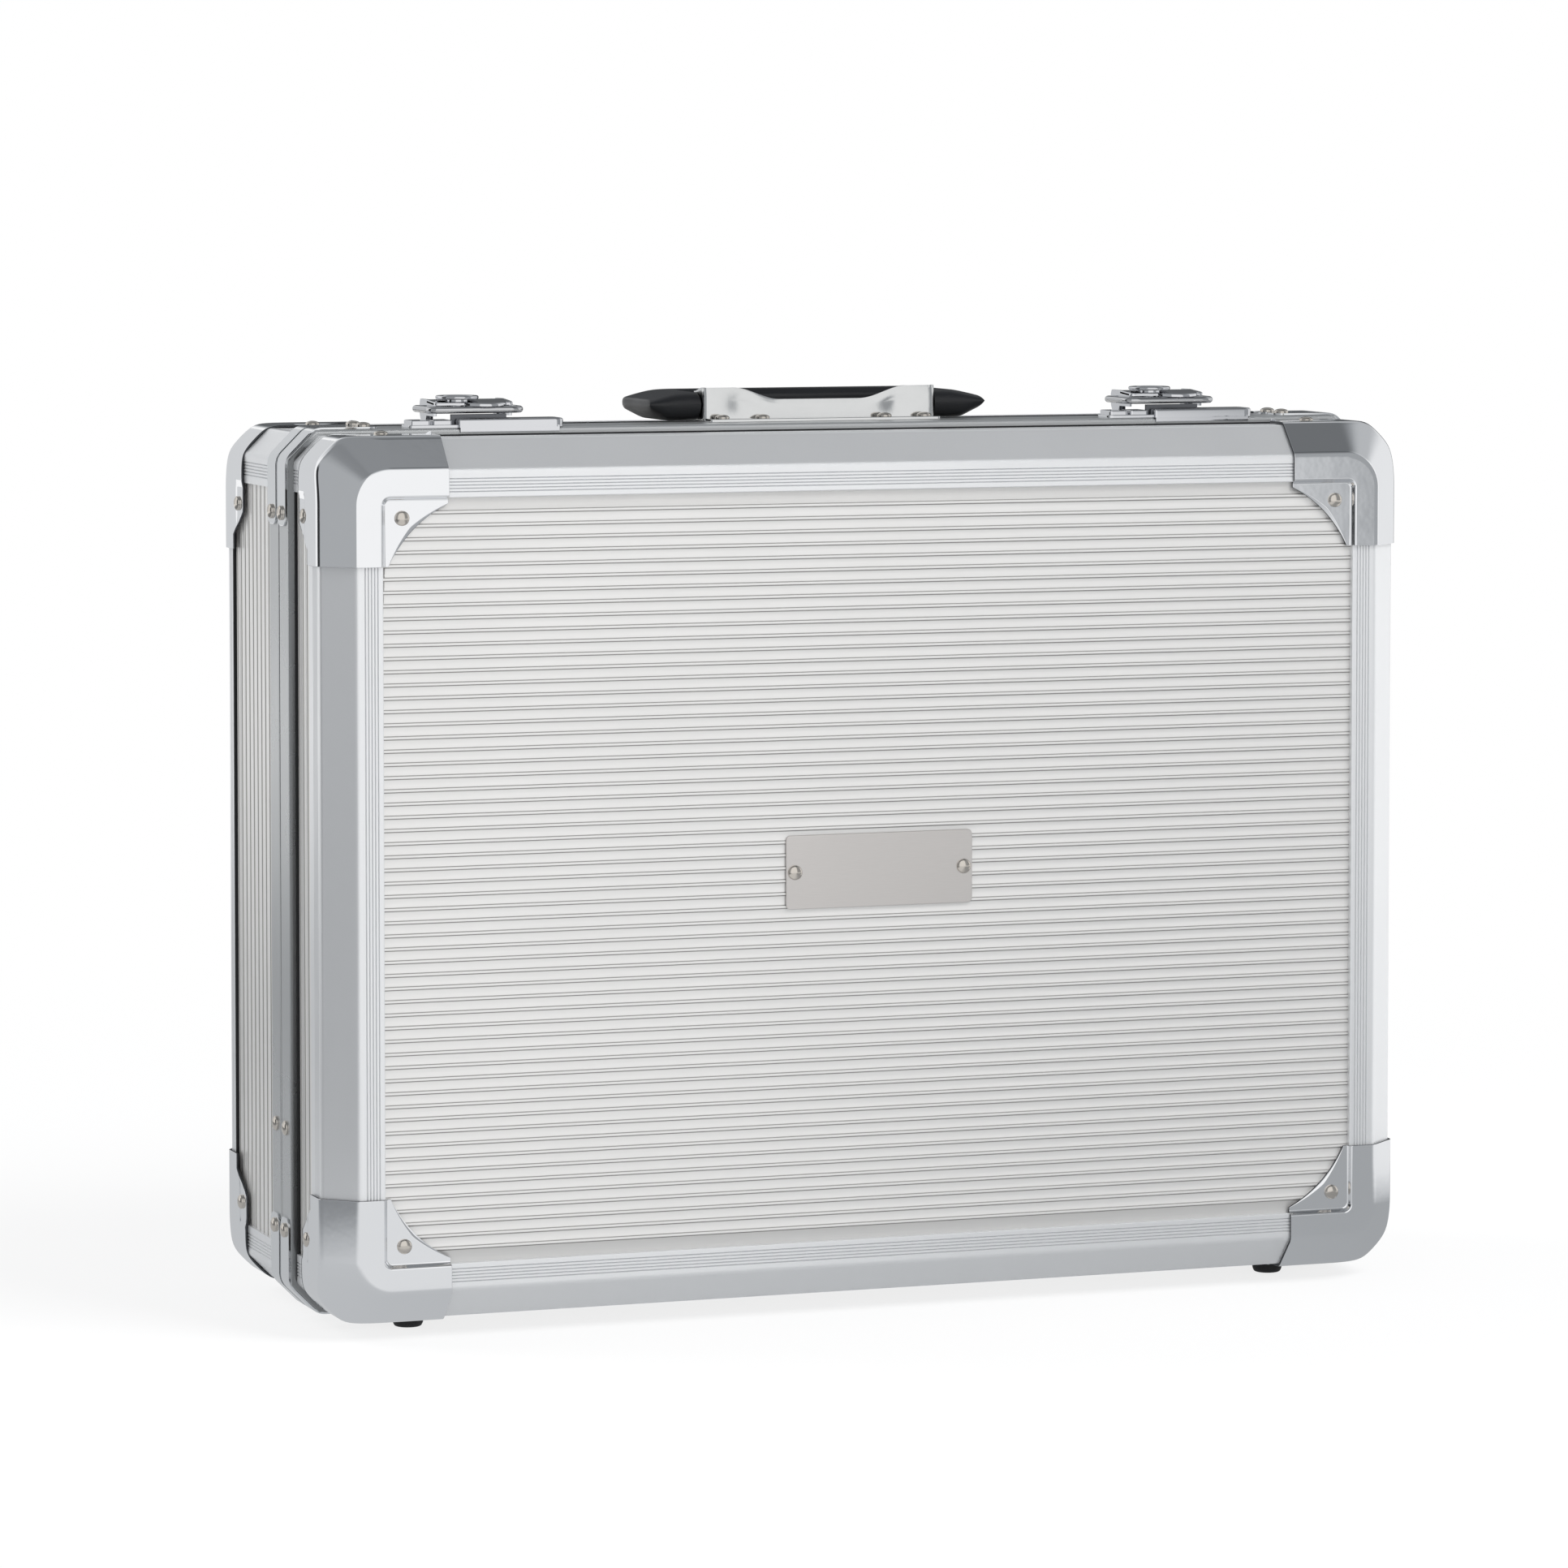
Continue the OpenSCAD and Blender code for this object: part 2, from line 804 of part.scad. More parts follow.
module name_plate() {
    y = face_recess + slot_fit / 2 - plate_t;
    color("white") lid_half() difference() {
        translate([-plate_w / 2, y, plate_z - plate_h / 2])
            cube([plate_w, plate_t, plate_h]);
        at_plate_rivets() rivet_hole(face_in);
    }
}

module name_plate_rivets() {
    color("wheat") lid_half() at_plate_rivets() rivet(face_slot);
}

// ---------------------------------------------------------------- nodes of the base

module base_back_sheet() {
    color("gainsboro") base_half() face_sheet();
}

module base_side_sheets() {
    color("lightgray") base_half() side_sheets(base_d, base_leg);
}

module base_boards() {
    color("burlywood") base_half() boards(base_d);
}

module base_edge_profiles() {
    color("silver") base_half() difference() {
        edge_profiles(base_leg);
        bracket_rivet_holes();
    }
}

module base_corner_profiles() {
    color("silver") base_half() corner_profiles(base_d);
}

module base_closure_profiles() {
    color("silver") difference() {
        base_half() difference() {
            mitred_ring(base_d) base_closure_section();
            closure_rivet_holes(base_d);
        }
        at_latches() plate_rivets_at() rivet_hole(closure_proud);
        at_handle_rivets() rivet_hole(closure_proud + 2 * foot_plate_t);
    }
}

module base_corner_brackets() {
    color("lightsteelblue") base_half() corner_brackets();
}

module base_closure_clips() {
    color("whitesmoke") base_half() closure_clips(base_d);
}

module base_rivets() {
    color("wheat") base_half() half_rivets(base_d);
}

module base_lining() {
    color("slategray") base_half() lining(base_d);
}

module base_feet() {
    color("black") base_half() feet(flap_d + foot_d / 3);
}

// ---------------------------------------------------------------- hinge

module at_hinge() {
    translate([0, parting_y, hinge_z]) children();
}

// One leaf with every second knuckle, first or second of the pair
module hinge_leaf(first) {
    r = knuckle_d / 2;
    play = 0.15;
    clear = r + 0.4;
    difference() {
        union() {
            translate([-hinge_l / 2, clear, r - leaf_t])
                cube([hinge_l, leaf_w - clear, leaf_t]);
            for (i = [first:2:hinge_knuckles - 1])
                translate([-hinge_l / 2 + i * knuckle_l + play, 0, 0]) {
                    rotate([0, 90, 0]) cylinder(h = knuckle_l - 2 * play, r = r);
                    translate([0, 0, r - leaf_t])
                        cube([knuckle_l - 2 * play, clear + leaf_t, leaf_t]);
                }
        }
        translate([-hinge_l, 0, 0]) rotate([0, 90, 0])
            cylinder(h = 2 * hinge_l, d = hinge_pin_d + 2 * hole_gap);
    }
}

module base_hinge_leaf() {
    color("silver") at_hinge() hinge_leaf(0);
}

module lid_hinge_leaf() {
    color("silver") at_hinge() mirror([0, 1, 0]) hinge_leaf(1);
}

module hinge_pin() {
    color("gray") at_hinge() translate([-hinge_l / 2, 0, 0]) rotate([0, 90, 0])
        cylinder(h = hinge_l, d = hinge_pin_d);
}

// ---------------------------------------------------------------- handle

module at_handle() {
    translate([0, parting_y, top_z]) children();
}

module at_handle_rivets() {
    at_handle() both_sides() for (k = [0, 1])
        translate([bracket_w / 2 - handle_rivet_in - k * handle_rivet_step,
                   upright_y - rivet_d / 2 - 1, closure_proud + foot_plate_t])
            children();
}

module handle_bracket() {
    w = bracket_w / 2;
    s = closure_proud;
    flare = 12.5;
    color("gainsboro") difference() {
        at_handle() union() {
            translate([-w, 1, s]) cube([bracket_w, upright_y - 1, foot_plate_t]);
            translate([0, upright_y + cheek_t, 0]) rotate([90, 0, 0])
                linear_extrude(cheek_t)
                    polygon([[-w, s], [w, s], [w, bracket_z], [w - flare, bracket_z],
                             [dip_w / 2, bracket_dip], [-dip_w / 2, bracket_dip],
                             [flare - w, bracket_z], [-w, bracket_z]]);
            both_sides() translate([w - cheek_t, upright_y, s + 0.8])
                cube([cheek_t, grip_y + 4 - upright_y, bracket_z - s - 2]);
        }
        at_handle() translate([-w - 1, grip_y, grip_z]) rotate([0, 90, 0])
            cylinder(h = bracket_w + 2, d = pin_d + 2 * hole_gap);
        at_handle_rivets() rivet_hole(closure_proud);
    }
}

module handle_rivets() {
    color("wheat") at_handle_rivets() rivet(closure_proud + foot_plate_t);
}

// Outline of the grip from the front: a bar with a pointed end on each side
module grip_front() {
    h = grip_w / 2;
    z0 = closure_proud + 0.3;
    z1 = z0 + grip_t;
    half = [[h, grip_z - 2.2], [h, grip_z + 1.8], [h - 5, z1 - 1.6], [h - 14, z1]];
    polygon(concat(
        [[0, z0], [h - 9, z0]], half,
        [for (i = [3:-1:0]) [-half[i][0], half[i][1]]],
        [[9 - h, z0]]
    ));
}

module grip_plan() {
    h = grip_w / 2;
    in = bracket_w / 2 + 0.4;
    y0 = grip_y - 7;
    y1 = grip_y + grip_reach;
    round_r = 10;
    difference() {
        union() {
            translate([-h, y0]) square([grip_w, y1 - y0 - round_r]);
            translate([-h + round_r, y1 - 2 * round_r])
                square([grip_w - 2 * round_r, 2 * round_r]);
            for (k = [-1, 1])
                translate([k * (h - round_r), y1 - round_r]) circle(round_r);
        }
        translate([-in, y0 - 1]) square([2 * in, y1 - grip_bar - y0 + 1]);
    }
}

module handle_grip() {
    w = grip_w + 10;
    z0 = closure_proud + 0.3;
    nose = grip_z - z0 - 0.2;
    color("dimgray") at_handle() difference() {
        intersection() {
            translate([0, grip_y + grip_reach + 1, 0]) rotate([90, 0, 0])
                linear_extrude(grip_reach + 20) grip_front();
            linear_extrude(30) grip_plan();
            translate([-w / 2, 0, 0]) rotate([90, 0, 90]) linear_extrude(w) union() {
                translate([grip_y, grip_z]) circle(nose);
                translate([grip_y, z0]) square([grip_reach, grip_t]);
            }
        }
        translate([-w / 2, grip_y, grip_z]) rotate([0, 90, 0])
            cylinder(h = w / 2 - bracket_w / 2 + 7, d = pin_d + 2 * hole_gap);
        mirror([1, 0, 0]) translate([-w / 2, grip_y, grip_z]) rotate([0, 90, 0])
            cylinder(h = w / 2 - bracket_w / 2 + 7, d = pin_d + 2 * hole_gap);
    }
}

module handle_pins() {
    pin_l = 13;
    color("gray") at_handle() both_sides()
        translate([bracket_w / 2 - 3.5, grip_y, grip_z]) rotate([0, 90, 0])
            cylinder(h = pin_l, d = pin_d);
}

// ---------------------------------------------------------------- latches

module at_latch(side) {
    translate([side * latch_x, parting_y, top_z]) children();
}

module at_latches() {
    at_latch(-1) children();
    at_latch(1) children();
}

// Keeper on the lid: foot, raised pad and two side blocks
module keeper() {
    s = closure_proud;
    r = keeper_d / 3;
    pad_x = keeper_x + keeper_w - pad_w;
    difference() {
        union() {
            translate([keeper_x, keeper_y, s]) cube([keeper_w, keeper_d, keeper_t]);
            translate([pad_x, keeper_y, s]) cube([pad_w - r, keeper_d, pad_h]);
            translate([pad_x + pad_w - r, keeper_y + r, s]) cylinder(h = pad_h, r = r);
            translate([pad_x, keeper_y + r, s]) cube([pad_w, keeper_d - r, pad_h]);
            for (k = [0, 1])
                translate([keeper_x + 1 + k * (keeper_block + 1), keeper_y + 0.6, s])
                    cube([keeper_block, keeper_d - 1, pad_h - 0.4]);
        }
        keeper_rivets() rivet_hole(2 * rivet_h);
    }
}

module keeper_rivets() {
    for (x = [keeper_x + 5, keeper_x + keeper_w - 7])
        translate([x, keeper_y + 2 * keeper_d / 3, closure_proud + pad_h]) children();
}

module latch_keepers() {
    color("gainsboro") at_latches() keeper();
}

// Ridge on the keeper, just behind the front run of the wire and a little below it
module latch_catches() {
    low = closure_proud + keeper_t;
    play = 0.35;
    left = keeper_x + 2 * keeper_block + 2 + play;
    high = lever_z - wire_d / 2 - play;
    color("silver") at_latches()
        translate([left, wire_d / 2 + play - bail_reach, low])
            cube([keeper_x + keeper_w - pad_w - play - left, 1.3, high - low]);
}

// Plate on the base with two ears that carry the lever's pin
module latch_plate() {
    s = closure_proud;
    ear_x = cheek_out - latch_cheek_t - 0.6;
    difference() {
        union() {
            translate([bail_offset - ear_x, 0.8, s]) cube([2 * ear_x, 12.7, 1]);
            for (k = [-1, 1])
                translate([bail_offset + k * (ear_x - 0.6) - 0.6, lever_y, 0]) {
                    translate([0, 0, lever_z]) rotate([0, 90, 0])
                        cylinder(h = 1.2, r = ear_r);
                    translate([0, -ear_r, s]) cube([1.2, 2 * ear_r, lever_z - s]);
                }
        }
        translate([bail_offset - 30, lever_y, lever_z]) rotate([0, 90, 0])
            cylinder(h = 60, d = lever_pin_d + 2 * hole_gap);
        plate_rivets_at() rivet_hole(2 * rivet_h);
    }
}

module plate_rivets_at() {
    for (x = [-10, 4]) translate([x, 3.4, closure_proud + 1]) children();
}

module latch_plate_left() {
    color("silver") at_latch(-1) latch_plate();
}

module latch_plate_right() {
    color("silver") at_latch(1) latch_plate();
}

module latch_pins() {
    color("gray") at_latches()
        translate([bail_offset - cheek_out, lever_y, lever_z]) rotate([0, 90, 0])
            cylinder(h = 2 * cheek_out, d = lever_pin_d);
}

module latch_rivets() {
    flat = 1.2;
    color("wheat") at_latches() plate_rivets_at() {
        cylinder(h = flat, d = 4.4);
        translate([0, 0, -closure_proud]) cylinder(h = closure_proud, d = shank_d);
    }
}

// Pressed lever: top plate, round thumb end and two cheeks
module latch_lever() {
    w = 2 * cheek_out;
    z1 = lever_z + lever_top;
    rear = 6.4;
    difference() {
        union() {
            translate([bail_offset - cheek_out, -8, z1])
                cube([w, lever_y - 2.5 + 8, lever_sheet]);
            translate([1.5, -4, z1]) cylinder(h = lever_sheet, r = 9.5);
            for (k = [-1, 1])
                translate([bail_offset + k * (cheek_out - latch_cheek_t / 2)
                           - latch_cheek_t / 2, 0, 0]) {
                    translate([0, lever_y, lever_z]) rotate([0, 90, 0])
                        intersection() {
                            cylinder(h = latch_cheek_t, r = rear);
                            translate([-lever_top - lever_sheet, -rear, 0])
                                cube([lever_top + lever_sheet + lever_z - cheek_low,
                                      2 * rear, latch_cheek_t]);
                        }
                    translate([0, -6, cheek_low])
                        cube([latch_cheek_t, lever_y + 6, z1 - cheek_low + lever_sheet / 2]);
                }
        }
        translate([bail_offset - 30, lever_y, lever_z]) rotate([0, 90, 0])
            cylinder(h = 60, d = lever_pin_d + 2 * hole_gap);
        translate([bail_offset - 30, lever_y + bail_r, lever_z]) rotate([0, 90, 0])
            cylinder(h = 60, d = wire_d + 2 * hole_gap);
        translate([lock_x, lock_y, lever_z - 2])
            cylinder(h = 10, d = lock_d / 2 + 2 * hole_gap);
    }
}

module latch_lever_left() {
    color("gainsboro") at_latch(-1) latch_lever();
}

module latch_lever_right() {
    color("gainsboro") at_latch(1) latch_lever();
}

// Wire bail: front run, two rounded corners, side runs and short inward ends
module latch_bail() {
    r = wire_d / 2;
    bend = 4;
    x = bail_w / 2 - r;
    y0 = -bail_reach;
    y1 = lever_y + bail_r;
    stub = lever_in + latch_cheek_t;
    translate([bail_offset, 0, lever_z]) {
        translate([-x + bend, y0, 0]) rotate([0, 90, 0])
            cylinder(h = 2 * (x - bend), r = r);
        both_sides() {
            translate([x, y0 + bend, 0]) rotate([-90, 0, 0])
                cylinder(h = y1 - y0 - bend, r = r);
            translate([x - bend, y0 + bend, 0]) rotate([0, 0, -90])
                rotate_extrude(angle = 90) translate([bend, 0]) circle(r);
            translate([x, y1, 0]) sphere(r);
            translate([x - stub - r, y1, 0]) rotate([0, 90, 0])
                cylinder(h = stub + r, r = r);
        }
    }
}

module latch_bail_left() {
    color("silver") at_latch(-1) latch_bail();
}

module latch_bail_right() {
    color("silver") at_latch(1) latch_bail();
}

// Lock cylinder with a wide rim and a key slot
module latch_lock() {
    z1 = lever_z + lever_top + lever_sheet + hole_gap;
    translate([lock_x, lock_y, 0]) difference() {
        union() {
            translate([0, 0, lever_z - 0.9]) cylinder(h = z1 - lever_z + 1, d = lock_d / 2);
            translate([0, 0, z1]) cylinder(h = 1, d = lock_d);
            translate([0, 0, z1 + 1]) cylinder(h = 0.5, r1 = lock_d / 2, r2 = lock_d / 2 - 0.8);
        }
        translate([-0.6, -2.6, z1 + 0.4]) cube([1.2, 5.2, 3]);
        translate([0, 1.2, z1 + 0.4]) cylinder(h = 3, d = 2.6);
    }
}

module latch_lock_left() {
    color("silver") at_latch(-1) latch_lock();
}

module latch_lock_right() {
    color("silver") at_latch(1) latch_lock();
}

// ---------------------------------------------------------------- output

lid_front_sheet();
lid_side_sheets();
lid_boards();
lid_edge_profiles();
lid_corner_profiles();
lid_closure_profiles();
lid_seal();
lid_corner_brackets();
lid_closure_clips();
lid_rivets();
lid_lining();
lid_feet();
name_plate();
name_plate_rivets();
latch_keepers();
latch_catches();
lid_hinge_leaf();
base_back_sheet();
base_side_sheets();
base_boards();
base_edge_profiles();
base_corner_profiles();
base_closure_profiles();
base_corner_brackets();
base_closure_clips();
base_rivets();
base_lining();
base_feet();
base_hinge_leaf();
hinge_pin();
handle_bracket();
handle_rivets();
handle_grip();
handle_pins();
latch_plate_left();
latch_plate_right();
latch_pins();
latch_rivets();
latch_lever_left();
latch_lever_right();
latch_bail_left();
latch_bail_right();
latch_lock_left();
latch_lock_right();
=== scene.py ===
"""Aluminium tool case: ribbed panels, bevelled edge profiles, pressed corners, two latches.

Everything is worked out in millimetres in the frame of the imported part, where X runs along
the width, -Y is the front of the lid, and Z = 0 is the ground under the feet.
"""

import math

import bmesh
import bpy
import numpy as np
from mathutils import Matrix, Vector


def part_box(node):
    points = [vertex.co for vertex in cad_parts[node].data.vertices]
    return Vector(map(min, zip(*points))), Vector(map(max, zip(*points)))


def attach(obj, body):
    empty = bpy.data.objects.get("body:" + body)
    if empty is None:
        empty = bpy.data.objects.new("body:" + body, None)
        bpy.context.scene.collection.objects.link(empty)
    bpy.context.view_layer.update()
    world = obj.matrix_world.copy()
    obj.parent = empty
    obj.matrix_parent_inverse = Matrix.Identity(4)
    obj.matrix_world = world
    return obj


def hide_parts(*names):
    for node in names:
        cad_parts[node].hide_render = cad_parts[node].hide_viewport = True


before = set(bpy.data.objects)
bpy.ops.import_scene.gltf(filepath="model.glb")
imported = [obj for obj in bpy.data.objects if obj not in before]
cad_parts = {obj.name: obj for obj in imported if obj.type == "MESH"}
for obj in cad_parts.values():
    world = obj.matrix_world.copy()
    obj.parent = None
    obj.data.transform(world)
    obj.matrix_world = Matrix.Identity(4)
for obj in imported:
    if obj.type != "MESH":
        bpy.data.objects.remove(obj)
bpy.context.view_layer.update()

# ---------------------------------------------------------------------------
# Ribbed front and back panels: thin anodised aluminium sheet, rolled with fine ribs that
# run the full width, and held on all sides in the slots of the edge profiles.


def linear(code):
    """Scene-linear RGBA of an sRGB hex colour: the sRGB curve undone channel by channel."""
    c = np.array([int(code[i:i + 2], 16) for i in (1, 3, 5)]) / 255.0
    c = np.where(c <= 0.04045, c / 12.92, ((c + 0.055) / 1.055) ** 2.4)
    return (*c.tolist(), 1.0)


def add(tree, kind, sets=None, inputs=None):
    """Adds a node with its settings; each input takes a value or is linked.

    A link comes from a socket, or from the first output of a node.
    """
    made = tree.nodes.new(kind)
    for key, value in (sets or {}).items():
        setattr(made, key, value)
    for key, value in (inputs or {}).items():
        if isinstance(value, bpy.types.Node):
            value = value.outputs[0]
        if isinstance(value, bpy.types.NodeSocket):
            tree.links.new(value, made.inputs[key])
        else:
            made.inputs[key].default_value = value
    return made


def blank(name):
    """A new material with an empty node tree, the tree, and the place on the object."""
    made = bpy.data.materials.new(name)
    made.use_nodes = True
    tree = made.node_tree
    tree.nodes.clear()
    return made, tree, add(tree, "ShaderNodeTexCoord").outputs["Object"]


metre = 1000.0  # millimetres


def millimetres(node):
    """Lowest and highest corner of a CAD node as two arrays, in millimetres."""
    return [np.array(corner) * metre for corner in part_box(node)]


lid_low, lid_high = millimetres("lid_edge_profiles")
half_w = (lid_high[0] - lid_low[0]) / 2
half_h = (lid_high[2] - lid_low[2]) / 2
middle = (lid_high[2] + lid_low[2]) / 2
front, back = lid_low[1], millimetres("base_edge_profiles")[1][1]
parting = float(np.mean([corner[1] for corner in millimetres("hinge_pin")]))


def in_half(half, x, deep, z):
    """Points from x, depth below the half's outer face, and height above mid-height."""
    y = front + deep if half == "lid" else back - deep
    return np.stack(np.broadcast_arrays(x, y, middle + z), axis=-1).astype(float)


def eased(points, radii, steps=6):
    """Polylines with rounded corners, one for each leading index of the array.

    Each corner gives way to a parabola that starts and ends at its radius from the corner
    and has the corner as its control point. The first and last points stay.
    """
    p = np.asarray(points, float)
    corner, back_way, on_way = p[..., 1:-1, :], p[..., :-2, :], p[..., 2:, :]
    r = np.broadcast_to(np.asarray(radii, float), p.shape[-2:-1])[1:-1, None]
    ends = []
    for other in (back_way - corner, on_way - corner):
        far = np.maximum(np.linalg.norm(other, axis=-1, keepdims=True), 1e-9)
        ends.append(corner + other / far * np.minimum(r, 0.49 * far))
    t = np.linspace(0, 1, steps)[:, None]
    curve = ((1 - t) ** 2 * ends[0][..., None, :] + 2 * t * (1 - t) * corner[..., None, :]
             + t ** 2 * ends[1][..., None, :])
    # One more point on the straight on each side keeps the shading of the flats flat
    guards = [(end + 0.12 * (end - corner))[..., None, :] for end in ends]
    curve = np.concatenate([guards[0], curve, guards[1]], axis=-2)
    curve = curve.reshape(*p.shape[:-2], -1, p.shape[-1])
    return np.concatenate([p[..., :1, :], curve, p[..., -1:, :]], axis=-2)


def grid(points, closed=(False, False), caps=False):
    """Vertices of a grid of points, rows by columns, and its faces in blocks of one size.

    closed joins the last row to the first, or the last column to the first. caps closes
    the first and the last row with one face each.
    """
    rows, cols = points.shape[:2]
    r, c = np.meshgrid(np.arange(rows - (not closed[0])), np.arange(cols - (not closed[1])),
                       indexing="ij")
    r1, c1 = (r + 1) % rows, (c + 1) % cols
    quads = np.stack([r * cols + c, r1 * cols + c, r1 * cols + c1, r * cols + c1], axis=-1)
    blocks = [quads.reshape(-1, 4)]
    if caps:
        numbers = np.arange(rows * cols).reshape(rows, cols)
        blocks += [numbers[:1], numbers[-1:]]
    return points.reshape(-1, 3), blocks


def tube(points):
    """Grid whose rows are closed loops, with a face over the first and the last."""
    return grid(points, (False, True), caps=True)


def joined(name, parts):
    """One mesh, in metres, from several grids in millimetres, numbered one after another."""
    faces, count = [], 0
    for points, blocks in parts:
        for block in blocks:
            faces += (block + count).tolist()
        count += len(points)
    mesh = bpy.data.meshes.new(name)
    points = np.concatenate([points for points, _ in parts]) / metre
    mesh.from_pydata(points.tolist(), [], faces)
    return mesh


def placed(name, data):
    """An object with this mesh, light or camera, in the scene."""
    made = bpy.data.objects.new(name, data)
    bpy.context.collection.objects.link(made)
    return made


def make(name, parts, finish, body, nodes, sharp=32, closed=True):
    """One object from several grids that stands for the CAD nodes.

    Coincident points are merged, then the faces of closed parts are turned outwards, and
    edges sharper than the given angle stay crisp under smooth shading.
    """
    mesh = joined(name, parts)
    work = bmesh.new()
    work.from_mesh(mesh)
    bmesh.ops.remove_doubles(work, verts=work.verts, dist=2e-6)
    bmesh.ops.dissolve_degenerate(work, edges=work.edges, dist=2e-6)
    if closed:
        bmesh.ops.recalc_face_normals(work, faces=work.faces)
    work.to_mesh(mesh)
    work.free()
    mesh.shade_smooth()
    mesh.set_sharp_from_angle(angle=math.radians(sharp))
    mesh.materials.append(finish)
    made = placed(name, mesh)
    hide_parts(*nodes)
    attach(made, body)
    return made


# Size of the patches that handling leaves, in millimetres, and depth of a fine relief, in
# metres
hand_patch, relief = 62.5, 0.0002


def metal(name, tone, rough, spread, grain, bump=0.0, streak=(1.0, 1.0, 1.0),
          mottle=0.1, soft_edge=0.0, bare=1.0):
    """A metal whose tone and roughness wander a little.

    The tone goes from a share spread below to the same share above, with a fine noise whose
    grain is a width in millimetres, and streak stretches it along an axis, as rolling or
    brushing does. The roughness goes from a share mottle below to the same share above,
    with a second, broad noise. bare is under 1 where a milky anodic layer covers the metal,
    and soft_edge rounds the shading of hard edges, by a radius in millimetres.
    """
    made, tree, spot = blank(name)
    drawn = add(tree, "ShaderNodeVectorMath", {"operation": "MULTIPLY"},
                {0: spot, 1: tuple(s * metre / grain for s in streak)})
    fine = add(tree, "ShaderNodeTexNoise", inputs={
        "Vector": drawn, "Scale": 1.0, "Detail": 3.0, "Roughness": 0.6})
    broad = add(tree, "ShaderNodeTexNoise", inputs={
        "Vector": spot, "Scale": metre / hand_patch, "Detail": 4.0, "Roughness": 0.6})
    level = linear(tone)
    low = tuple(c * (1 - spread) for c in level[:3]) + (1.0,)
    high = tuple(min(1.0, c * (1 + spread)) for c in level[:3]) + (1.0,)
    colour = add(tree, "ShaderNodeMix", {"data_type": "RGBA"}, {0: fine, 6: low, 7: high})
    worn = add(tree, "ShaderNodeMapRange", inputs={
        "Value": broad, "From Min": 0.3, "From Max": 0.7,
        "To Min": rough * (1 - mottle), "To Max": rough * (1 + mottle)})
    shader = add(tree, "ShaderNodeBsdfPrincipled", inputs={
        "Base Color": colour.outputs[2], "Metallic": bare, "Roughness": worn})
    if soft_edge:
        rounded = add(tree, "ShaderNodeBevel", {"samples": 4}, {"Radius": soft_edge / metre})
        tree.links.new(rounded.outputs[0], shader.inputs["Normal"])
    if bump:
        height = add(tree, "ShaderNodeBump", inputs={
            "Strength": bump, "Distance": relief, "Height": fine})
        tree.links.new(height.outputs[0], shader.inputs["Normal"])
    add(tree, "ShaderNodeOutputMaterial", inputs={"Surface": shader})
    return made


rib_wide, rib_tall = 1.7, 0.35


def rib_line(centres, low, high):
    """Rolled face as [position, depth]: flat, with a rounded rib at each centre.

    A rib climbs as half a cosine wave over its flanks and is slightly crowned on top.
    """
    flank = np.linspace(0, 1, 5)
    climb = (1 - np.cos(np.pi * flank)) / 2
    across = np.concatenate([-0.5 + 0.26 * flank, [0.0], 0.24 + 0.26 * flank]) * rib_wide
    rise = np.concatenate([climb * 0.9, [1.0], climb[::-1] * 0.9]) * rib_tall
    where = (np.array(centres)[:, None] + across).ravel()
    deep = np.broadcast_to(rib_tall - rise, (len(centres), len(rise))).ravel()
    return np.stack([np.concatenate([[low], where, [high]]),
                     np.concatenate([[rib_tall], deep, [rib_tall]])], axis=1)


def rolled_sheet(name, tone, dark, rough, along, tilt):
    """Anodised rolled sheet: a pale satin metal, with painted shade on the flanks of its ribs.

    The tone goes from the sheet's to the dark one as the normal leans either way along the tilt
    axis: fully on the negative side, and to 0.8 of it on the positive side.
    """
    made = metal(name, tone, rough, bump=0.1, streak=along, spread=0.03, grain=0.5,
                 bare=0.6)
    tree = made.node_tree
    shader = next(node for node in tree.nodes if node.type == "BSDF_PRINCIPLED")
    plain = shader.inputs["Base Color"].links[0].from_socket
    lean = add(tree, "ShaderNodeSeparateXYZ", inputs={
        0: add(tree, "ShaderNodeTexCoord").outputs["Normal"]}).outputs[tilt]
    # Painted shade on the flanks, from the lean of the normal along the tilt axis
    under, above = (
        add(tree, "ShaderNodeMapRange", {"interpolation_type": "SMOOTHSTEP"}, {
            "Value": lean, "From Min": 0.12 * way, "From Max": 0.5 * way, "To Min": 0.0,
            "To Max": painted_shade}) for way, painted_shade in ((-1, 1.0), (1, 0.8)))
    flank = add(tree, "ShaderNodeMath", {"operation": "MAXIMUM"}, {0: under, 1: above})
    shade = add(tree, "ShaderNodeMix", {"data_type": "RGBA"},
                {0: flank, 6: plain, 7: linear(dark)})
    tree.links.new(shade.outputs[2], shader.inputs["Base Color"])
    return made


panel_pitch, panel_recess, panel_cut, sheet_thick = 5.07, 1.85, 12.0, 0.9
# From the outline to the edge of the sheet, which lies in the profiles' slots
panel_edge = 13.1
# How much of the face and of the side the bevel takes, and how far in the flange ends
bevel_face, bevel_side, flange = 12.0, 11.0, 22.4
# The second tone is the painted shade on the ribs' flanks
panel_metal = rolled_sheet("anodised rolled sheet", "#E8E7E5", "#9A9895", 0.36,
                           (0.02, 1.0, 1.0), "Z")


def face_panel(half, node):
    """Panel whose face is the rib line, carried straight across the width.

    Near the top and bottom the width shrinks by what the height exceeds the corner cut.
    """
    reach_z, reach_x = half_h - panel_edge, half_w - panel_edge
    count = int((half_h - flange - rib_wide) // panel_pitch)
    line = rib_line(np.arange(-count, count + 1) * panel_pitch, -reach_z, reach_z)
    line = np.concatenate([line, [[reach_z, sheet_thick], [-reach_z, sheet_thick]]])
    wide = reach_x - np.maximum(0, np.abs(line[:, 0]) - (reach_z - panel_cut))
    points = np.stack([in_half(half, side * wide, panel_recess + line[:, 1], line[:, 0])
                       for side in (-1, 1)])
    make(node, [tube(points)], panel_metal, half, [node], sharp=60)


face_panel("lid", "lid_front_sheet")
face_panel("base", "base_back_sheet")

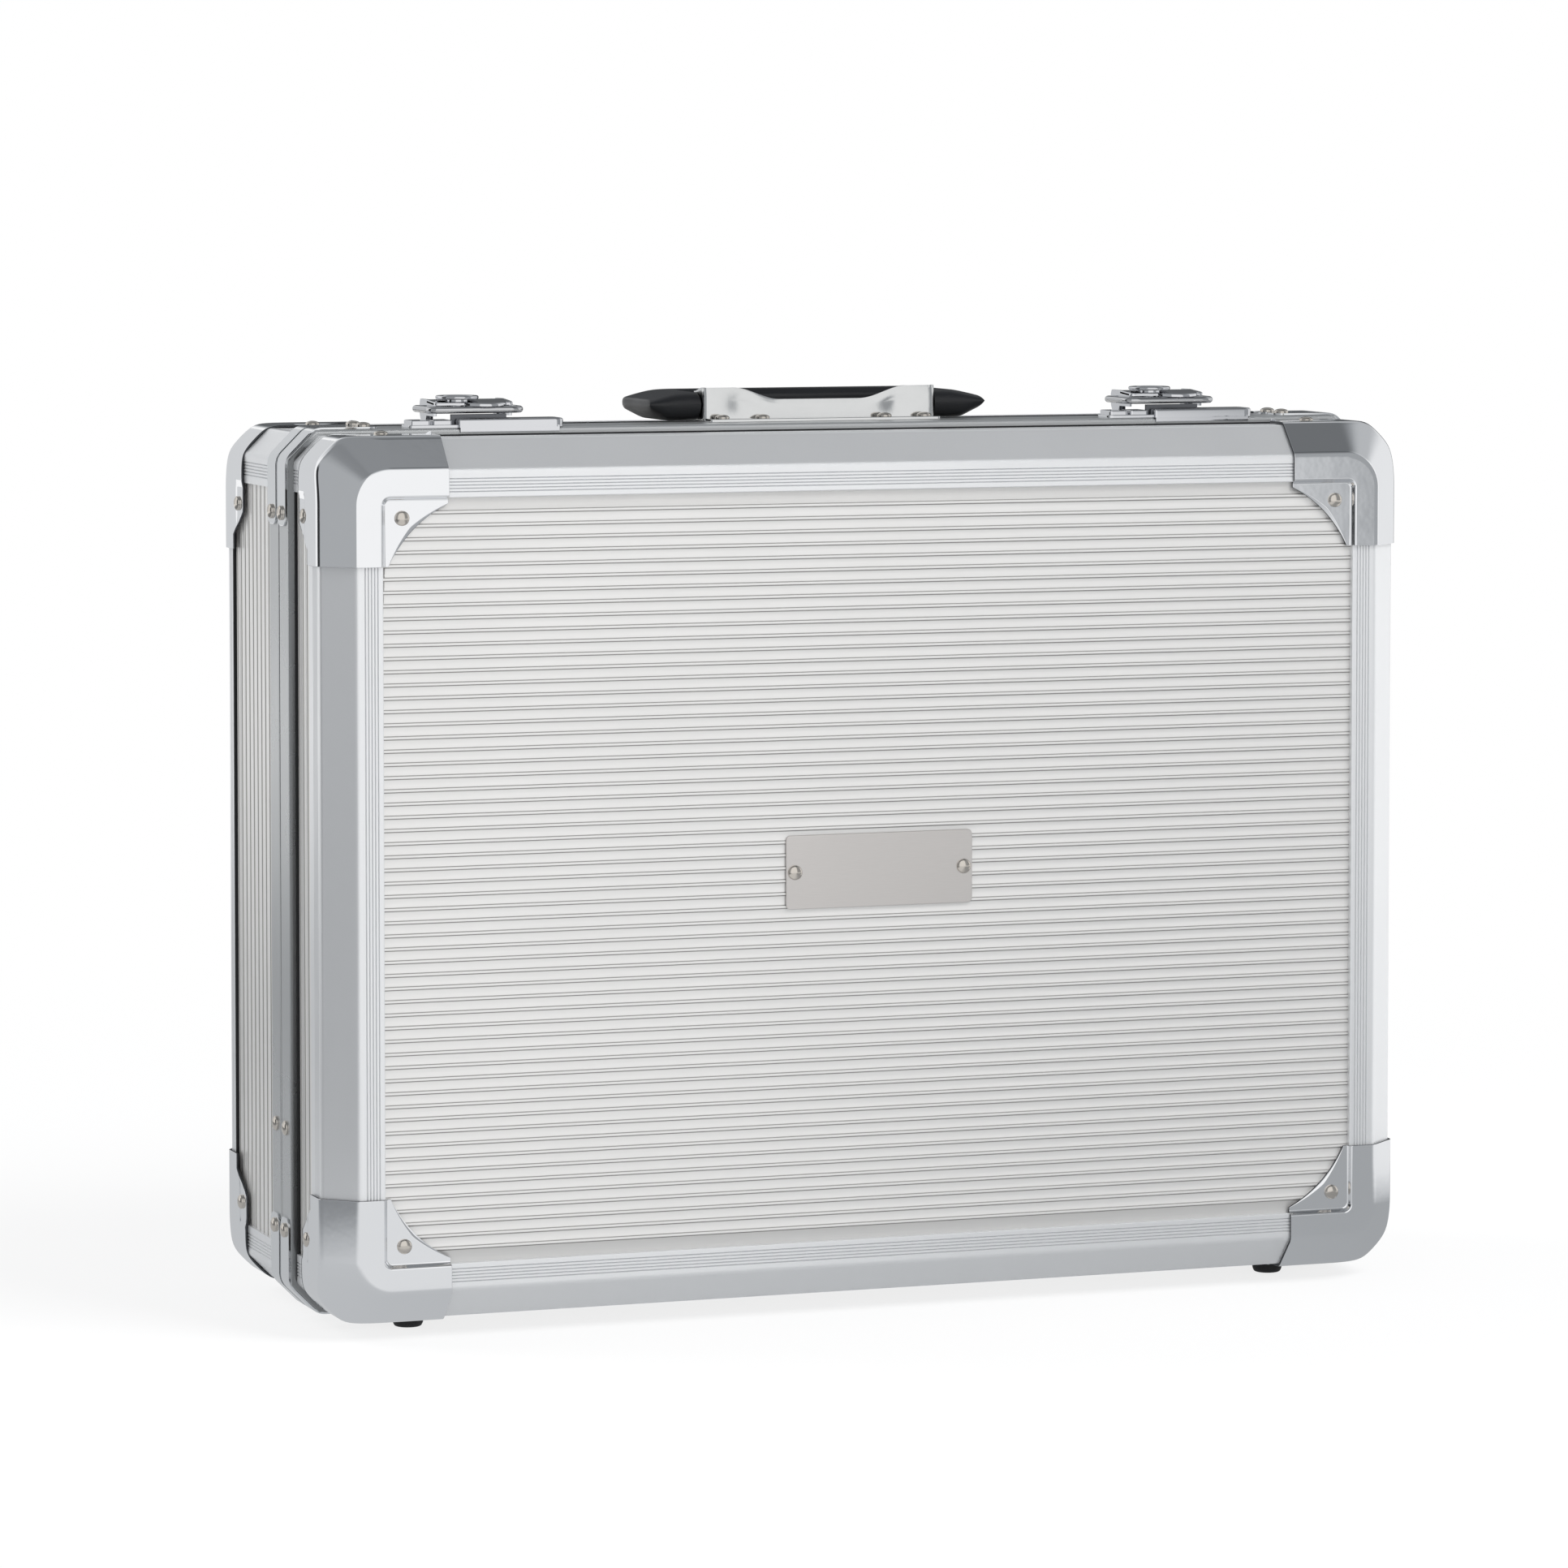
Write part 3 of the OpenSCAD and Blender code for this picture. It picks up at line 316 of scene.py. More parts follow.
# ---------------------------------------------------------------------------
# Edge profiles: extruded anodised aluminium with a wide bevel along every edge of the
# case and a flat leg on each side of it, which carries fine extruded grooves.

# Up to five grooves, with their distance, width and depth. The first lies this far from the
# bevel, and the last at least this far from the leg's end
grooves, groove_step, groove_wide, groove_deep = 5, 1.25, 0.56, 0.5
groove_in, groove_out = 3.2, 1.5
# Walls of the extrusion under its face and under its side, and its inner corner
face_wall, side_wall, inner_corner = 2.6, 2.0, 13


def grooved(start, limit):
    """Positions and depths of shallow V grooves, from start on and short of the limit."""
    centres = start + groove_step * np.arange(grooves)
    centres = centres[centres < limit]
    where = (centres[:, None] + np.array([-0.5, 0.0, 0.5]) * groove_wide).ravel()
    return where, np.tile([0.0, groove_deep, 0.0], len(centres))


def edge_section(half):
    """Section of an edge profile as [depth, inward], with eased outer edges."""
    end = bevel_side + leg[half]
    where, sunk = grooved(bevel_face + groove_in, flange - groove_out)
    face = np.stack([sunk, where], axis=1)[::-1]
    where, sunk = grooved(bevel_side + groove_in, end - groove_out)
    side = np.stack([where, sunk], axis=1)
    points = np.concatenate([[[face_wall, flange], [0, flange]], face,
                             [[0, bevel_face], [bevel_side, 0]], side,
                             [[end, 0], [end, side_wall], [inner_corner, side_wall],
                              [face_wall, inner_corner]]])
    radii = np.zeros(len(points))
    radii[1] = 0.35
    radii[len(face) + 2:len(face) + 4] = 1.3
    radii[len(face) + 4 + len(side)] = 0.35
    return eased(points, radii)


def bars(half, section, reach_x, reach_z):
    """The section carried along the top and bottom, and along both sides.

    Columns are the points of the section and the two rows are the ends of the bar, which
    may be different for each point.
    """
    deep, inward = section.T
    made = []
    for side in (-1, 1):
        made.append([in_half(half, end * reach_x, deep, side * (half_h - inward))
                     for end in (-1, 1)])
        made.append([in_half(half, side * (half_w - inward), deep, end * reach_z)
                     for end in (-1, 1)])
    return [tube(np.stack(ends)) for ends in made]


# Anodising leaves a milky skin on the extrusion: pale, even and satin, without grain
profile_metal = metal("anodised aluminium extrusion", "#EAEBEC", 0.31, spread=0.02,
                      grain=0.6, bare=0.7)
depth = {"lid": parting - front, "base": back - parting}
# Width of the flat leg beside the bevel, on the sides
leg = {"lid": 14.0, "base": 6.5}
# The bars end under the corner brackets, this far from the corner
bar_end = 24
for half in ("lid", "base"):
    make(f"{half}_edge_profiles",
         bars(half, edge_section(half), half_w - bar_end, half_h - bar_end),
         profile_metal, half, [f"{half}_edge_profiles"], sharp=28)


# The 45 degree cut of the outline, the width of the rings at the opening, and the width of
# a corner profile's legs
corner_cut, closure_wide, leg_wide = 10.0, 14.0, 21.5


def at_corners(half, points):
    """Points (inward from the side, inward from the top, depth) set at all four corners."""
    u, v, deep = np.moveaxis(np.asarray(points, float), -1, 0)
    return [in_half(half, right * (half_w - u), deep, up * (half_h - v))
            for right in (-1, 1) for up in (-1, 1)]


def corner_profiles(half):
    """Bar along the depth at each corner, bevelled, with a grooved leg on each side."""
    where, sunk = grooved(corner_cut + groove_in, leg_wide - groove_out)
    leg_out = np.stack([where, sunk], axis=1)
    points = np.concatenate([[[side_wall, leg_wide], [0, leg_wide]], leg_out[::-1, ::-1],
                             [[0, corner_cut], [corner_cut, 0]], leg_out,
                             [[leg_wide, 0], [leg_wide, side_wall],
                              [inner_corner - 1, side_wall],
                              [side_wall, inner_corner - 1]]])
    radii = np.zeros(len(points))
    radii[len(leg_out) + 2:len(leg_out) + 4] = 1.2
    section = eased(points, radii)
    ends = [np.column_stack([section, np.full(len(section), deep)])
            for deep in (15.0, depth[half] - closure_wide - 0.1)]
    return [tube(made) for made in at_corners(half, np.stack(ends))]


for half in ("lid", "base"):
    make(f"{half}_corner_profiles", corner_profiles(half), profile_metal, half,
         [f"{half}_corner_profiles"], sharp=28)

# ---------------------------------------------------------------------------
# Ribbed side panels: the same anodised sheet, with its ribs running round the case. Four
# strips a half are held between the edge profile and the closure profile.

side_pitch, side_recess, side_end = 5.9, 1.15, 14.7
# The second tone is the painted shade on the ribs' flanks
side_metal = rolled_sheet("anodised rolled sheet, sides", "#ECEBE9", "#B4B2AE", 0.34,
                          (1.0, 1.0, 1.0), "Y")


def side_panels(half, node):
    """Four panels whose section is the rib line set along the depth."""
    # Both ends of the strip are let in under the profiles
    low, high = 12.1, depth[half] - 5.4
    first = bevel_side + leg[half] + rib_wide
    last = depth[half] - closure_wide - rib_wide
    count = int((last - first) // side_pitch)
    start = (first + last - count * side_pitch) / 2
    line = rib_line(start + side_pitch * np.arange(count + 1), low, high)
    line = np.concatenate([line, [[high, sheet_thick], [low, sheet_thick]]])
    line[:, 1] += side_recess
    make(node, bars(half, line, half_w - side_end, half_h - side_end), side_metal, half,
         [node], sharp=60)


side_panels("lid", "lid_side_sheets")
side_panels("base", "base_side_sheets")

# ---------------------------------------------------------------------------
# Closure profiles: the two stout rings that meet where the case opens. Extruded aluminium
# with rounded edges; the lid's has a groove for the seal and the base's a tongue.

proud = 2.2


def ring(half, section):
    """The section carried all round the case, with a short bar across each cut corner.

    At a depth i below the side faces the bars end at the cut plus i * (sqrt(2) - 1) from
    the corner of the outline, so that they meet the cross bars in planes.
    """
    deep, inward = section.T
    share = corner_cut + inward * math.sqrt(2) - inward
    ends = np.stack([np.stack([share, inward, deep], axis=1),
                     np.stack([inward, share, deep], axis=1)])
    return (bars(half, section, half_w - share, half_h - share)
            + [tube(points) for points in at_corners(half, ends)])


def closure_section(half):
    """Section of a closure profile as [depth, inward]."""
    edge, start = depth[half] - 0.15, depth[half] - closure_wide
    if half == "lid":
        joint = [[edge, 2.6], [edge - 4.3, 2.6], [edge - 4.3, 5.8], [edge, 5.8]]
    else:
        joint = [[edge, 3.2], [edge + 3, 3.5], [edge + 3, 4.5], [edge, 4.8]]
    points = [[start, 1.4], [start, -proud], [edge, -proud], *joint, [edge, 8.3],
              [edge - 4.5, 8.3], [edge - 10, 8.3], [edge - 10, 3], [start, 3]]
    radii = [0, 1.5, 1.5] + [0.25] * 4 + [0.5, 0, 0, 0, 0]
    return eased(points, radii, 7)


# The same anodised finish, a shade darker and a little glossier on the stout bars
closure_metal = metal("anodised aluminium extrusion, closure", "#BABCBD", 0.28,
                      spread=0.02, grain=0.6, bare=0.75)
for half in ("lid", "base"):
    make(f"{half}_closure_profiles", ring(half, closure_section(half)), closure_metal, half,
         [f"{half}_closure_profiles"], sharp=28)

# ---------------------------------------------------------------------------
# Shade strips: thin black cords in the rubber material, laid in beside the lid's closure ring
# and beside the leg of the base's edge profile as painted shade in the gaps there. They show
# as fine dark lines round the case.

# Moulded rubber is a matt near-black. Its grain, 0.9 to the millimetre, is drawn coarser
# than the real one, so that it shows
rubber, tree, spot = blank("moulded rubber")
fine = add(tree, "ShaderNodeTexNoise", inputs={
    "Vector": spot, "Scale": 0.9 * metre, "Detail": 3.0})
skin = add(tree, "ShaderNodeBump", inputs={
    "Strength": 0.25, "Distance": relief, "Height": fine})
shader = add(tree, "ShaderNodeBsdfPrincipled", inputs={
    "Base Color": linear("#17181A"), "Roughness": 0.62, "Normal": skin})
add(tree, "ShaderNodeOutputMaterial", inputs={"Surface": shader})


def shade_strip(half, start, end, high, low):
    """Cord of rounded square section round the case, from start to end of the depth."""
    section = eased([[start, low], [start, high], [end, high], [end, low]],
                    [0, 0.15, 0.15, 0], 5)
    make(f"{half}_shade_strip", ring(half, section), rubber, half, [], sharp=50)


ring_start, leg_end = depth["lid"] - closure_wide, bevel_side + leg["base"]
# Black cords as painted shade beside the lid's closure ring and the base's leg
shade_strip("lid", ring_start - 0.6, ring_start + 0.1, 0.3, 1.3)
shade_strip("base", leg_end - 0.1, leg_end + 0.55, 0.15, 1.4)

# ---------------------------------------------------------------------------
# Corner brackets: steel sheet pressed round each corner and chromium plated. A flap lies
# on both side faces, a bevel turns over the edge, an L lies on the front flanges, and a
# sunk gusset is riveted to the panel.

# Length of an arm, centre of the bend, inner edge of the L, height over the profiles
arm, bend, inside, over = 48.5, 25.0, 22.9, 1.2
# Where the bevel of the bracket starts and ends, inwards from the side and the face
bevel_low, bevel_high = 10.47, 11.53
# Depths of the flap at the corner and along the arm, and of the sunk gusset
flap_deep, strip_deep, gusset_deep = 36, 23, 0.65


def ramp(x, low, high):
    """0 below low and 1 above high, with the cubic 3 t^2 - 2 t^3 between them."""
    t = np.clip((np.asarray(x, float) - low) / (high - low), 0, 1)
    return t * t * (3 - 2 * t)


def lengths(path):
    """Distance along a path at each of its points."""
    return np.concatenate([[0], np.cumsum(np.linalg.norm(np.diff(path, axis=0), axis=1))])


def bracket_path():
    """Stations along one arm, round the corner in an arc, and along the other arm.

    Each station has a centre and a direction outwards, and the sheet lies at distances
    from the centre along that direction. Returns centres, directions and distance along.
    """
    straight = np.array([arm, 48.3, 47.5, 46, 44, 42.5, 40, 37.5, 35, 33, 31, 29, 27])
    turn = np.radians(np.linspace(0, 90, 31))
    flat = np.full_like(straight, bend)
    centres = np.concatenate([np.stack([flat, straight], axis=1),
                              np.full((len(turn), 2), bend),
                              np.stack([straight[::-1], flat], axis=1)])
    angle = np.concatenate([np.zeros(len(straight)), turn,
                            np.full(len(straight), math.pi / 2)])
    out = -np.stack([np.cos(angle), np.sin(angle)], axis=1)
    run = lengths(centres + (bend - inside) * out)
    return centres, out, run / run[-1]


def bracket_sheet():
    """Outer surface of a bracket as (inward, inward, depth), stations by section points.

    The section runs from the edge of the flap over the bevel and the L to the step and the
    gusset. Round the corner the flap keeps to the outline, which is a soft minimum of the
    two side faces and the 45 degree cut: the sum of their distances to the power of minus
    20, to the power of minus 1/20.
    """
    soft = 20.0
    centres, out, run = bracket_path()
    cos, sin = np.maximum(-out.T, 1e-6)
    straight = np.abs(centres - bend).sum(axis=1) > 0
    reach = np.stack([(bend + over) / cos, (bend + over) / sin,
                      (2 * bend - corner_cut + over * math.sqrt(2)) / (cos + sin)])
    reach = (reach ** -soft).sum(axis=0) ** (-1 / soft)
    reach = np.where(straight, bend + over, reach)
    along = centres.max(axis=1)
    end = np.interp(along, [33, 42.5], [flap_deep, strip_deep])
    slope = (bevel_low + over) / (bevel_high + over)
    at_bend = bevel_low + (reach - bend - over) * slope
    # A shallow pocket under the flap's rivet, away from the corner
    from_corner = np.abs(centres + out * reach[:, None]).max(axis=1)
    pocket = 0.5 * ramp(from_corner, 21, 23) * ramp(end, 28.5, 30.5)
    distance = np.stack(np.broadcast_arrays(
        reach - pocket, reach - pocket, reach, reach, bend - bevel_high,
        bend - inside + 1.2, bend - inside), axis=1)
    deep = np.stack(np.broadcast_arrays(
        end, np.minimum(end - 0.4, 28.0), np.minimum(end - 0.8, 26.8), at_bend, -over,
        -over, gusset_deep, gusset_deep), axis=1)
    plan = centres[:, None] + out[:, None] * distance[..., None]
    # The gusset's rim is a straight line between the arms, drawn in by a parabola
    tip, sag = 24.6, 2.9
    rim = np.stack([tip + (arm - tip) * run, arm - (arm - tip) * run], axis=1)
    rim -= (sag / math.sqrt(2) * 4 * run * (1 - run))[:, None]
    plan = np.concatenate([plan, rim[:, None]], axis=1)
    points = np.concatenate([plan, deep[..., None]], axis=2)
    points = eased(points, [0, 0.5, 0.5, 2.0, 1.7, 0.5, 0.6, 0], 8)
    # One more row just inside each rim, so that the rim's shading stays at the rim
    first = points[:, :1] + 0.12 * (points[:, 1:2] - points[:, :1])
    last = points[:, -1:] + 0.12 * (points[:, -2:-1] - points[:, -1:])
    return np.concatenate([points[:, :1], first, points[:, 1:-1], last, points[:, -1:]],
                          axis=1)


def outwards(points, centre):
    """The grid with its columns turned round, if its faces look towards the centre.

    They do if the products of each face's normal and its way from the centre sum below 0.
    """
    across = points[1:, :-1] - points[:-1, :-1]
    along = points[:-1, 1:] - points[:-1, :-1]
    looks = np.cross(across, along)
    away = points[:-1, :-1] - np.asarray(centre, float)
    return points if (looks * away).sum() > 0 else points[:, ::-1]


# Chromium over pressed steel: a bright mirror, a little wavy where the press has drawn it.
# The sheared rim is a dull dark grey: the bare cut edge, darkened further as painted shade
chrome = metal("chromium plated steel", "#F1F2F4", 0.07, bump=0.22, spread=0.01,
               grain=15.0, mottle=0.5)
cut_edge_and_shade = metal("cut edge of plated sheet with painted shade", "#5A5C5F", 0.5, spread=0.1, grain=0.4)


def thicken(made, thick):
    """Gives a sheet its thickness, in millimetres, behind the surface."""
    wall = made.modifiers.new("sheet thickness", "SOLIDIFY")
    wall.thickness = thick / metre
    wall.offset = -1.0
    wall.use_even_offset = True
    return wall


for half in ("lid", "base"):
    heart = (0, (parting + (front if half == "lid" else back)) / 2, middle)
    sheets = [grid(outwards(points, heart)) for points in at_corners(half, bracket_sheet())]
    made = make(f"{half}_corner_brackets", sheets, chrome, half,
                [f"{half}_corner_brackets"], sharp=60, closed=False)
    # The sheet's rim takes the dark cut edge, with its painted shade along the edges
    made.data.materials.append(cut_edge_and_shade)
    thicken(made, 0.9).material_offset_rim = 1

# ---------------------------------------------------------------------------
# Closure clips: chromium plated steel strips with round ends, folded round the corners of
# both closure rings over their mitres, and riveted at each end.

# Plated flat strip: a mirror with slightly softer reflections than the brackets
clip_metal = metal("chromium plated steel strip", "#E6E8EA", 0.1, spread=0.01, grain=3.0,
                   mottle=0.5)
# Half the width of a clip
clip_half = 5.8


def closure_clip(half):
    """Strip with round ends, swept round a corner: stations by points of its section.

    The half width near an end follows a circle, so that the end is rounded.
    """
    low, high, end, round_end = proud + 0.1, proud + 0.85, 35.0, 4.0
    cut = corner_cut - high * math.sqrt(2) + high
    path = eased([[-high, end], [-high, cut], [cut, -high], [end, -high]],
                 [0, 3.2, 3.2, 0], 9)
    run = lengths(path)
    tips = round_end * (1 - np.cos(np.linspace(0, math.pi / 2, 9)))
    at = np.unique(np.round(np.concatenate([tips, run, run[-1] - tips]), 6))
    path = np.stack([np.interp(at, run, path[:, k]) for k in (0, 1)], axis=1)
    way = np.gradient(path, at, axis=0)
    out = np.stack([way[:, 1], -way[:, 0]], axis=1)
    out /= np.linalg.norm(out, axis=1, keepdims=True)
    if out[0, 0] > 0:
        out = -out
    near = np.clip(round_end - np.minimum(at, run[-1] - at), 0, round_end)
    wide = clip_half - round_end + np.sqrt(round_end ** 2 - near ** 2)
    loop = eased([[-1, 0.5], [-1, 1], [1, 1], [1, 0], [-1, 0], [-1, 0.5]],
                 [0, 0.06, 0.06, 0, 0, 0], 5)[:-1]
    sideways = loop[:, 0] * wide[:, None]
    lift = -(high - low) * (1 - loop[:, 1])
    plan = path[:, None] + out[:, None] * lift[None, :, None]
    deep = depth[half] - closure_wide / 2 + sideways
    return np.concatenate([plan, deep[..., None]], axis=2)


for half in ("lid", "base"):
    strips = [tube(points) for points in at_corners(half, closure_clip(half))]
    make(f"{half}_closure_clips", strips, clip_metal, half, [f"{half}_closure_clips"],
         sharp=40)

# ---------------------------------------------------------------------------
# Rivets: nickel plated steel with domed heads, set through brackets, clips and the stays
# inside. Nickel is a little warmer than the chromium round it.

# Nickel plating: bright, with a warm tint and softer reflections than chromium
rivet_metal = metal("nickel plated rivet", "#D3CDC5", 0.15, spread=0.03, grain=1.0,
                    mottle=0.3)
# Radius and height of a head, and distance of the corner rivets from the sides
head_r, head_tall, rivet_in = 2.9, 1.7, 30
# How far out of the side faces the rivets of the flaps and of the clips sit, how deep the
# flaps' rivets lie along the side, and how high a stay's rivet is above the bottom
flap_out, clip_out, flap_in, stay_up = 0.7, 3.05, 29, 70


def turned(line, steps=40):
    """Surface of revolution about Z: each [radius, height] of the line swept in a circle."""
    angle = np.linspace(0, 2 * math.pi, steps, endpoint=False)[:, None]
    radius, height = np.asarray(line, float).T
    return np.stack(np.broadcast_arrays(radius * np.cos(angle), radius * np.sin(angle),
                                        height), axis=-1)


def spun(points):
    """Grid of a surface of revolution, closed from its last row to its first."""
    return grid(points, (True, False))


def dome(radius, tall):
    """Line of a domed head: a short straight rim, then a quarter of an ellipse."""
    angle = np.linspace(0, math.pi / 2, 9)
    rim = 0.25 * tall
    curve = np.stack([radius * np.cos(angle), rim + (tall - rim) * np.sin(angle)], axis=1)
    return np.concatenate([[[0, -0.6], [radius * 0.55, -0.6], [radius * 0.97, 0]], curve])


def facing(points, spot, way):
    """Points drawn along +Z, turned to look along the way and moved to the spot."""
    way = np.asarray(way, float) / np.linalg.norm(way)
    side = np.cross(way, [0.3, 0.5, 0.9])
    side /= np.linalg.norm(side)
    return np.asarray(spot, float) + points @ np.stack([side, np.cross(way, side), way])


def rivets(name, heads, body):
    """One piece from all these heads, each a surface of revolution."""
    make(name, [spun(points) for points in heads], rivet_metal, body, [name],
         sharp=50)


def half_rivets(half):
    """Heads of the bracket rivets, the clip rivets and the stay rivets of one half."""
    head = turned(dome(head_r, head_tall))
    y = -1.0 if half == "lid" else 1.0
    clip = depth[half] - closure_wide / 2
    made = []
    for right in (-1, 1):
        x, x_in = right * half_w, right * (half_w - rivet_in)
        for up in (-1, 1):
            z, z_in = up * half_h, up * (half_h - rivet_in)
            for spot, way in (((x_in, gusset_deep, z_in), (0, y, 0)),
                              ((x + right * flap_out, flap_in, z_in), (right, 0, 0)),
                              ((x_in, flap_in, z + up * flap_out), (0, 0, up)),
                              ((x + right * clip_out, clip, z_in), (right, 0, 0)),
                              ((x_in, clip, z + up * clip_out), (0, 0, up))):
                made.append(facing(head, in_half(half, *spot), way))
        made.append(facing(head, in_half(half, x + right * proud, clip, stay_up - half_h),
                           (right, 0, 0)))
    return made


for half in ("lid", "base"):
    rivets(f"{half}_rivets", half_rivets(half), half)

# ---------------------------------------------------------------------------
# Name plate: a thin satin metal plate with rounded corners and a bare face, held by two
# rivets on the ribs of the front panel.


def slab(outline, low, high, ease=0.25):
    """Flat piece from a closed outline: rings for the foot, the wall and the eased rim.

    Each ring is the outline moved inwards along its own normal, which is the direction
    between a point's two neighbours turned by 90 degrees. One more ring inside the foot
    and one inside the rim keep the shading of the flats flat.
    """
    p = np.asarray(outline, float)
    p = p[np.linalg.norm(p - np.roll(p, 1, axis=0), axis=1) > 1e-6]
    x, y = p.T
    if (x * np.roll(y, -1) - y * np.roll(x, -1)).sum() < 0:
        p = p[::-1]
    way = np.roll(p, -1, axis=0) - np.roll(p, 1, axis=0)
    normal = np.stack([-way[:, 1], way[:, 0]], axis=1)
    normal /= np.linalg.norm(normal, axis=1, keepdims=True)
    angle = np.linspace(0, math.pi / 2, 4)
    guard = 0.15
    inward = np.concatenate([[guard, 0], ease * (1 - np.cos(angle)), [ease + guard]])
    height = np.concatenate([[low, low], high - ease + ease * np.sin(angle), [high]])
    rings = p[None] + normal[None] * inward[:, None, None]
    level = np.broadcast_to(height[:, None, None], rings.shape[:2] + (1,))
    return np.concatenate([rings, level], axis=2)


def box_outline(x0, x1, y0, y1, r=1.5):
    """Rectangle with rounded corners, as a closed outline."""
    middle_x = (x0 + x1) / 2
    return eased([[middle_x, y0], [x1, y0], [x1, y1], [x0, y1], [x0, y0], [middle_x, y0]],
                 [0, r, r, r, r, 0], 7)[:-1]


# Stainless steel brushed along its length: short soft streaks across the highlights
plate_metal = metal("satin stainless steel plate", "#DDD9D6", 0.3, bump=0.04,
                    streak=(0.05, 1.0, 1.0), spread=0.04, grain=0.3)
plate_low, plate_high = millimetres("name_plate")
plate = slab(box_outline(plate_low[0], plate_high[0], plate_low[2], plate_high[2], 2.2),
             -plate_high[1], -plate_low[1], 0.2)
plate = np.stack([plate[..., 0], -plate[..., 2], plate[..., 1]], axis=-1)
make("name_plate", [tube(plate)], plate_metal, "lid", ["name_plate"],
     sharp=50)
pin_low, pin_high = millimetres("name_plate_rivets")
rivets("name_plate_rivets",
       [facing(turned(dome(head_r, 1.5)), (x, plate_low[1], (pin_low[2] + pin_high[2]) / 2),
               (0, -1, 0)) for x in (pin_low[0] + head_r, pin_high[0] - head_r)], "lid")

# ---------------------------------------------------------------------------
# Feet: moulded black rubber buttons, two under each half, fixed to the bottom edge. The
# case stands on them when it is set down upright.

# Radius of a foot and of its tread, and height of the slope between them
foot_r, tread_r, slope_high = 6, 5.2, 1.6
for half in ("lid", "base"):
    low, high = millimetres(f"{half}_feet")
    line = eased([[0, low[2]], [tread_r, low[2]], [foot_r, low[2] + slope_high],
                  [foot_r, high[2]], [0, high[2]]], [0, 0.7, 0.7, 0, 0])
    feet = [turned(line) + [x, (low[1] + high[1]) / 2, 0]
            for x in (low[0] + foot_r, high[0] - foot_r)]
    make(f"{half}_feet", [spun(points) for points in feet], rubber, half,
         [f"{half}_feet"], sharp=50)

# ---------------------------------------------------------------------------
# Handle bracket: one pressed and plated sheet, bent back at both ends into the cheeks that
# hold the grip, with a dip in the middle for the fingers. Rivets hold its foot.

top = middle + half_h


def on_top(x, y, z):
    """Points from x, distance behind the parting line, and height above the shell."""
    return np.stack(np.broadcast_arrays(x, parting + y, top + z), axis=-1).astype(float)


bracket_low, bracket_high = millimetres("handle_bracket")
reach = (bracket_high[0] - bracket_low[0]) / 2
# Where its front and the ends of its cheeks are behind the parting line, how high its foot
# is, how high its dip and how much higher its shoulders
front_y, cheek_end, foot_z, dip_z, shoulder = 8.5, 20.4, 2.4, 10.8, 4.9


def bracket_wrap():
    """Outer surface of the bracket: stations along its plan by points up its height.

    The plan is a straight front with a rounded corner and a cheek at each end. The crest
    climbs in a cubic from the dip to the shoulders and falls again along the cheeks. The
    press leaves the sheet hollow beside the dip, as a bell curve along it times half a sine
    wave up it, and its crest leans back a little.
    """
    plan = eased([[-reach, cheek_end], [-reach, front_y], [reach, front_y],
                  [reach, cheek_end]], [0, 3, 3, 0], 10)
    run = lengths(plan)
    at = np.unique(np.concatenate([run, np.linspace(0, run[-1], 120)]))
    plan = np.stack([np.interp(at, run, plan[:, k]) for k in (0, 1)], axis=1)
    aside = np.abs(plan[:, :1])
    share = np.linspace(0, 1, 12)[None, :]
    crest = dip_z + shoulder * ramp(aside, 17, 37)
    crest -= 1.6 * ramp(plan[:, 1:], 11, 20)
    hollow = 0.55 * np.exp(-((aside - 33) / 6) ** 2) * np.sin(np.pi * share)
    lean = 0.5 * ramp(share, 0.72, 1.0) * (aside < reach - 0.5)
    return on_top(plan[:, :1], plan[:, 1:] + hollow + lean,
                  foot_z + (crest - foot_z) * share)


foot = slab(box_outline(-reach + 0.6, reach - 0.6, 1.0, 9.2, 1.2), 2.2, 3.4, 0.3)
foot = on_top(foot[..., 0], foot[..., 1], foot[..., 2])
# Chromium over pressed sheet: bright, with reflections that the press marks soften
handle_metal = metal("chromium plated pressed sheet", "#D8D9D9", 0.12, bump=0.05,
                     spread=0.02, grain=2.0, mottle=0.4)
middle_of_grip = (0, parting + 40, top + 8)
wrap = grid(outwards(bracket_wrap(), middle_of_grip))
sheet = make("handle_bracket", [wrap], handle_metal, "base", ["handle_bracket"],
             sharp=60, closed=False)
thicken(sheet, 1.2)
ease = sheet.modifiers.new("eased rim", "BEVEL")
ease.width = 0.3 / metre
ease.segments = 2
ease.limit_method = "ANGLE"
ease.angle_limit = math.radians(50)
make("handle_bracket_foot", [tube(foot)], handle_metal, "base", ["handle_bracket"],
     sharp=50)
low, high = millimetres("handle_rivets")
# Places of the rivets on a bracket that reaches 49.5 mm to each side, in proportion
spots = [(x * reach / 49.5, (low[1] + high[1]) / 2 - parting, 3.4)
         for x in (-43, -26, 26, 43)]
rivets("handle_rivets", [facing(turned(dome(head_r, head_tall)), on_top(*spot), (0, 0, 1))
                         for spot in spots], "base")

# ---------------------------------------------------------------------------
# Grip: moulded black plastic, two pointed arms joined by the bar that the hand holds. It
# turns on two pins in the cheeks of the bracket.

grip_low, grip_high = millimetres("handle_grip")
grip_half = (grip_high[0] - grip_low[0]) / 2
grip_end = grip_high[1] - parting
grip_foot, grip_top = grip_low[2] - top, grip_high[2] - top
bar_wide, bar_bend, arm_gap = 14.0, 5.0, 0.4
arm_in, arm_wide = reach + arm_gap, grip_half - reach - arm_gap
bar_in = grip_end - bar_wide


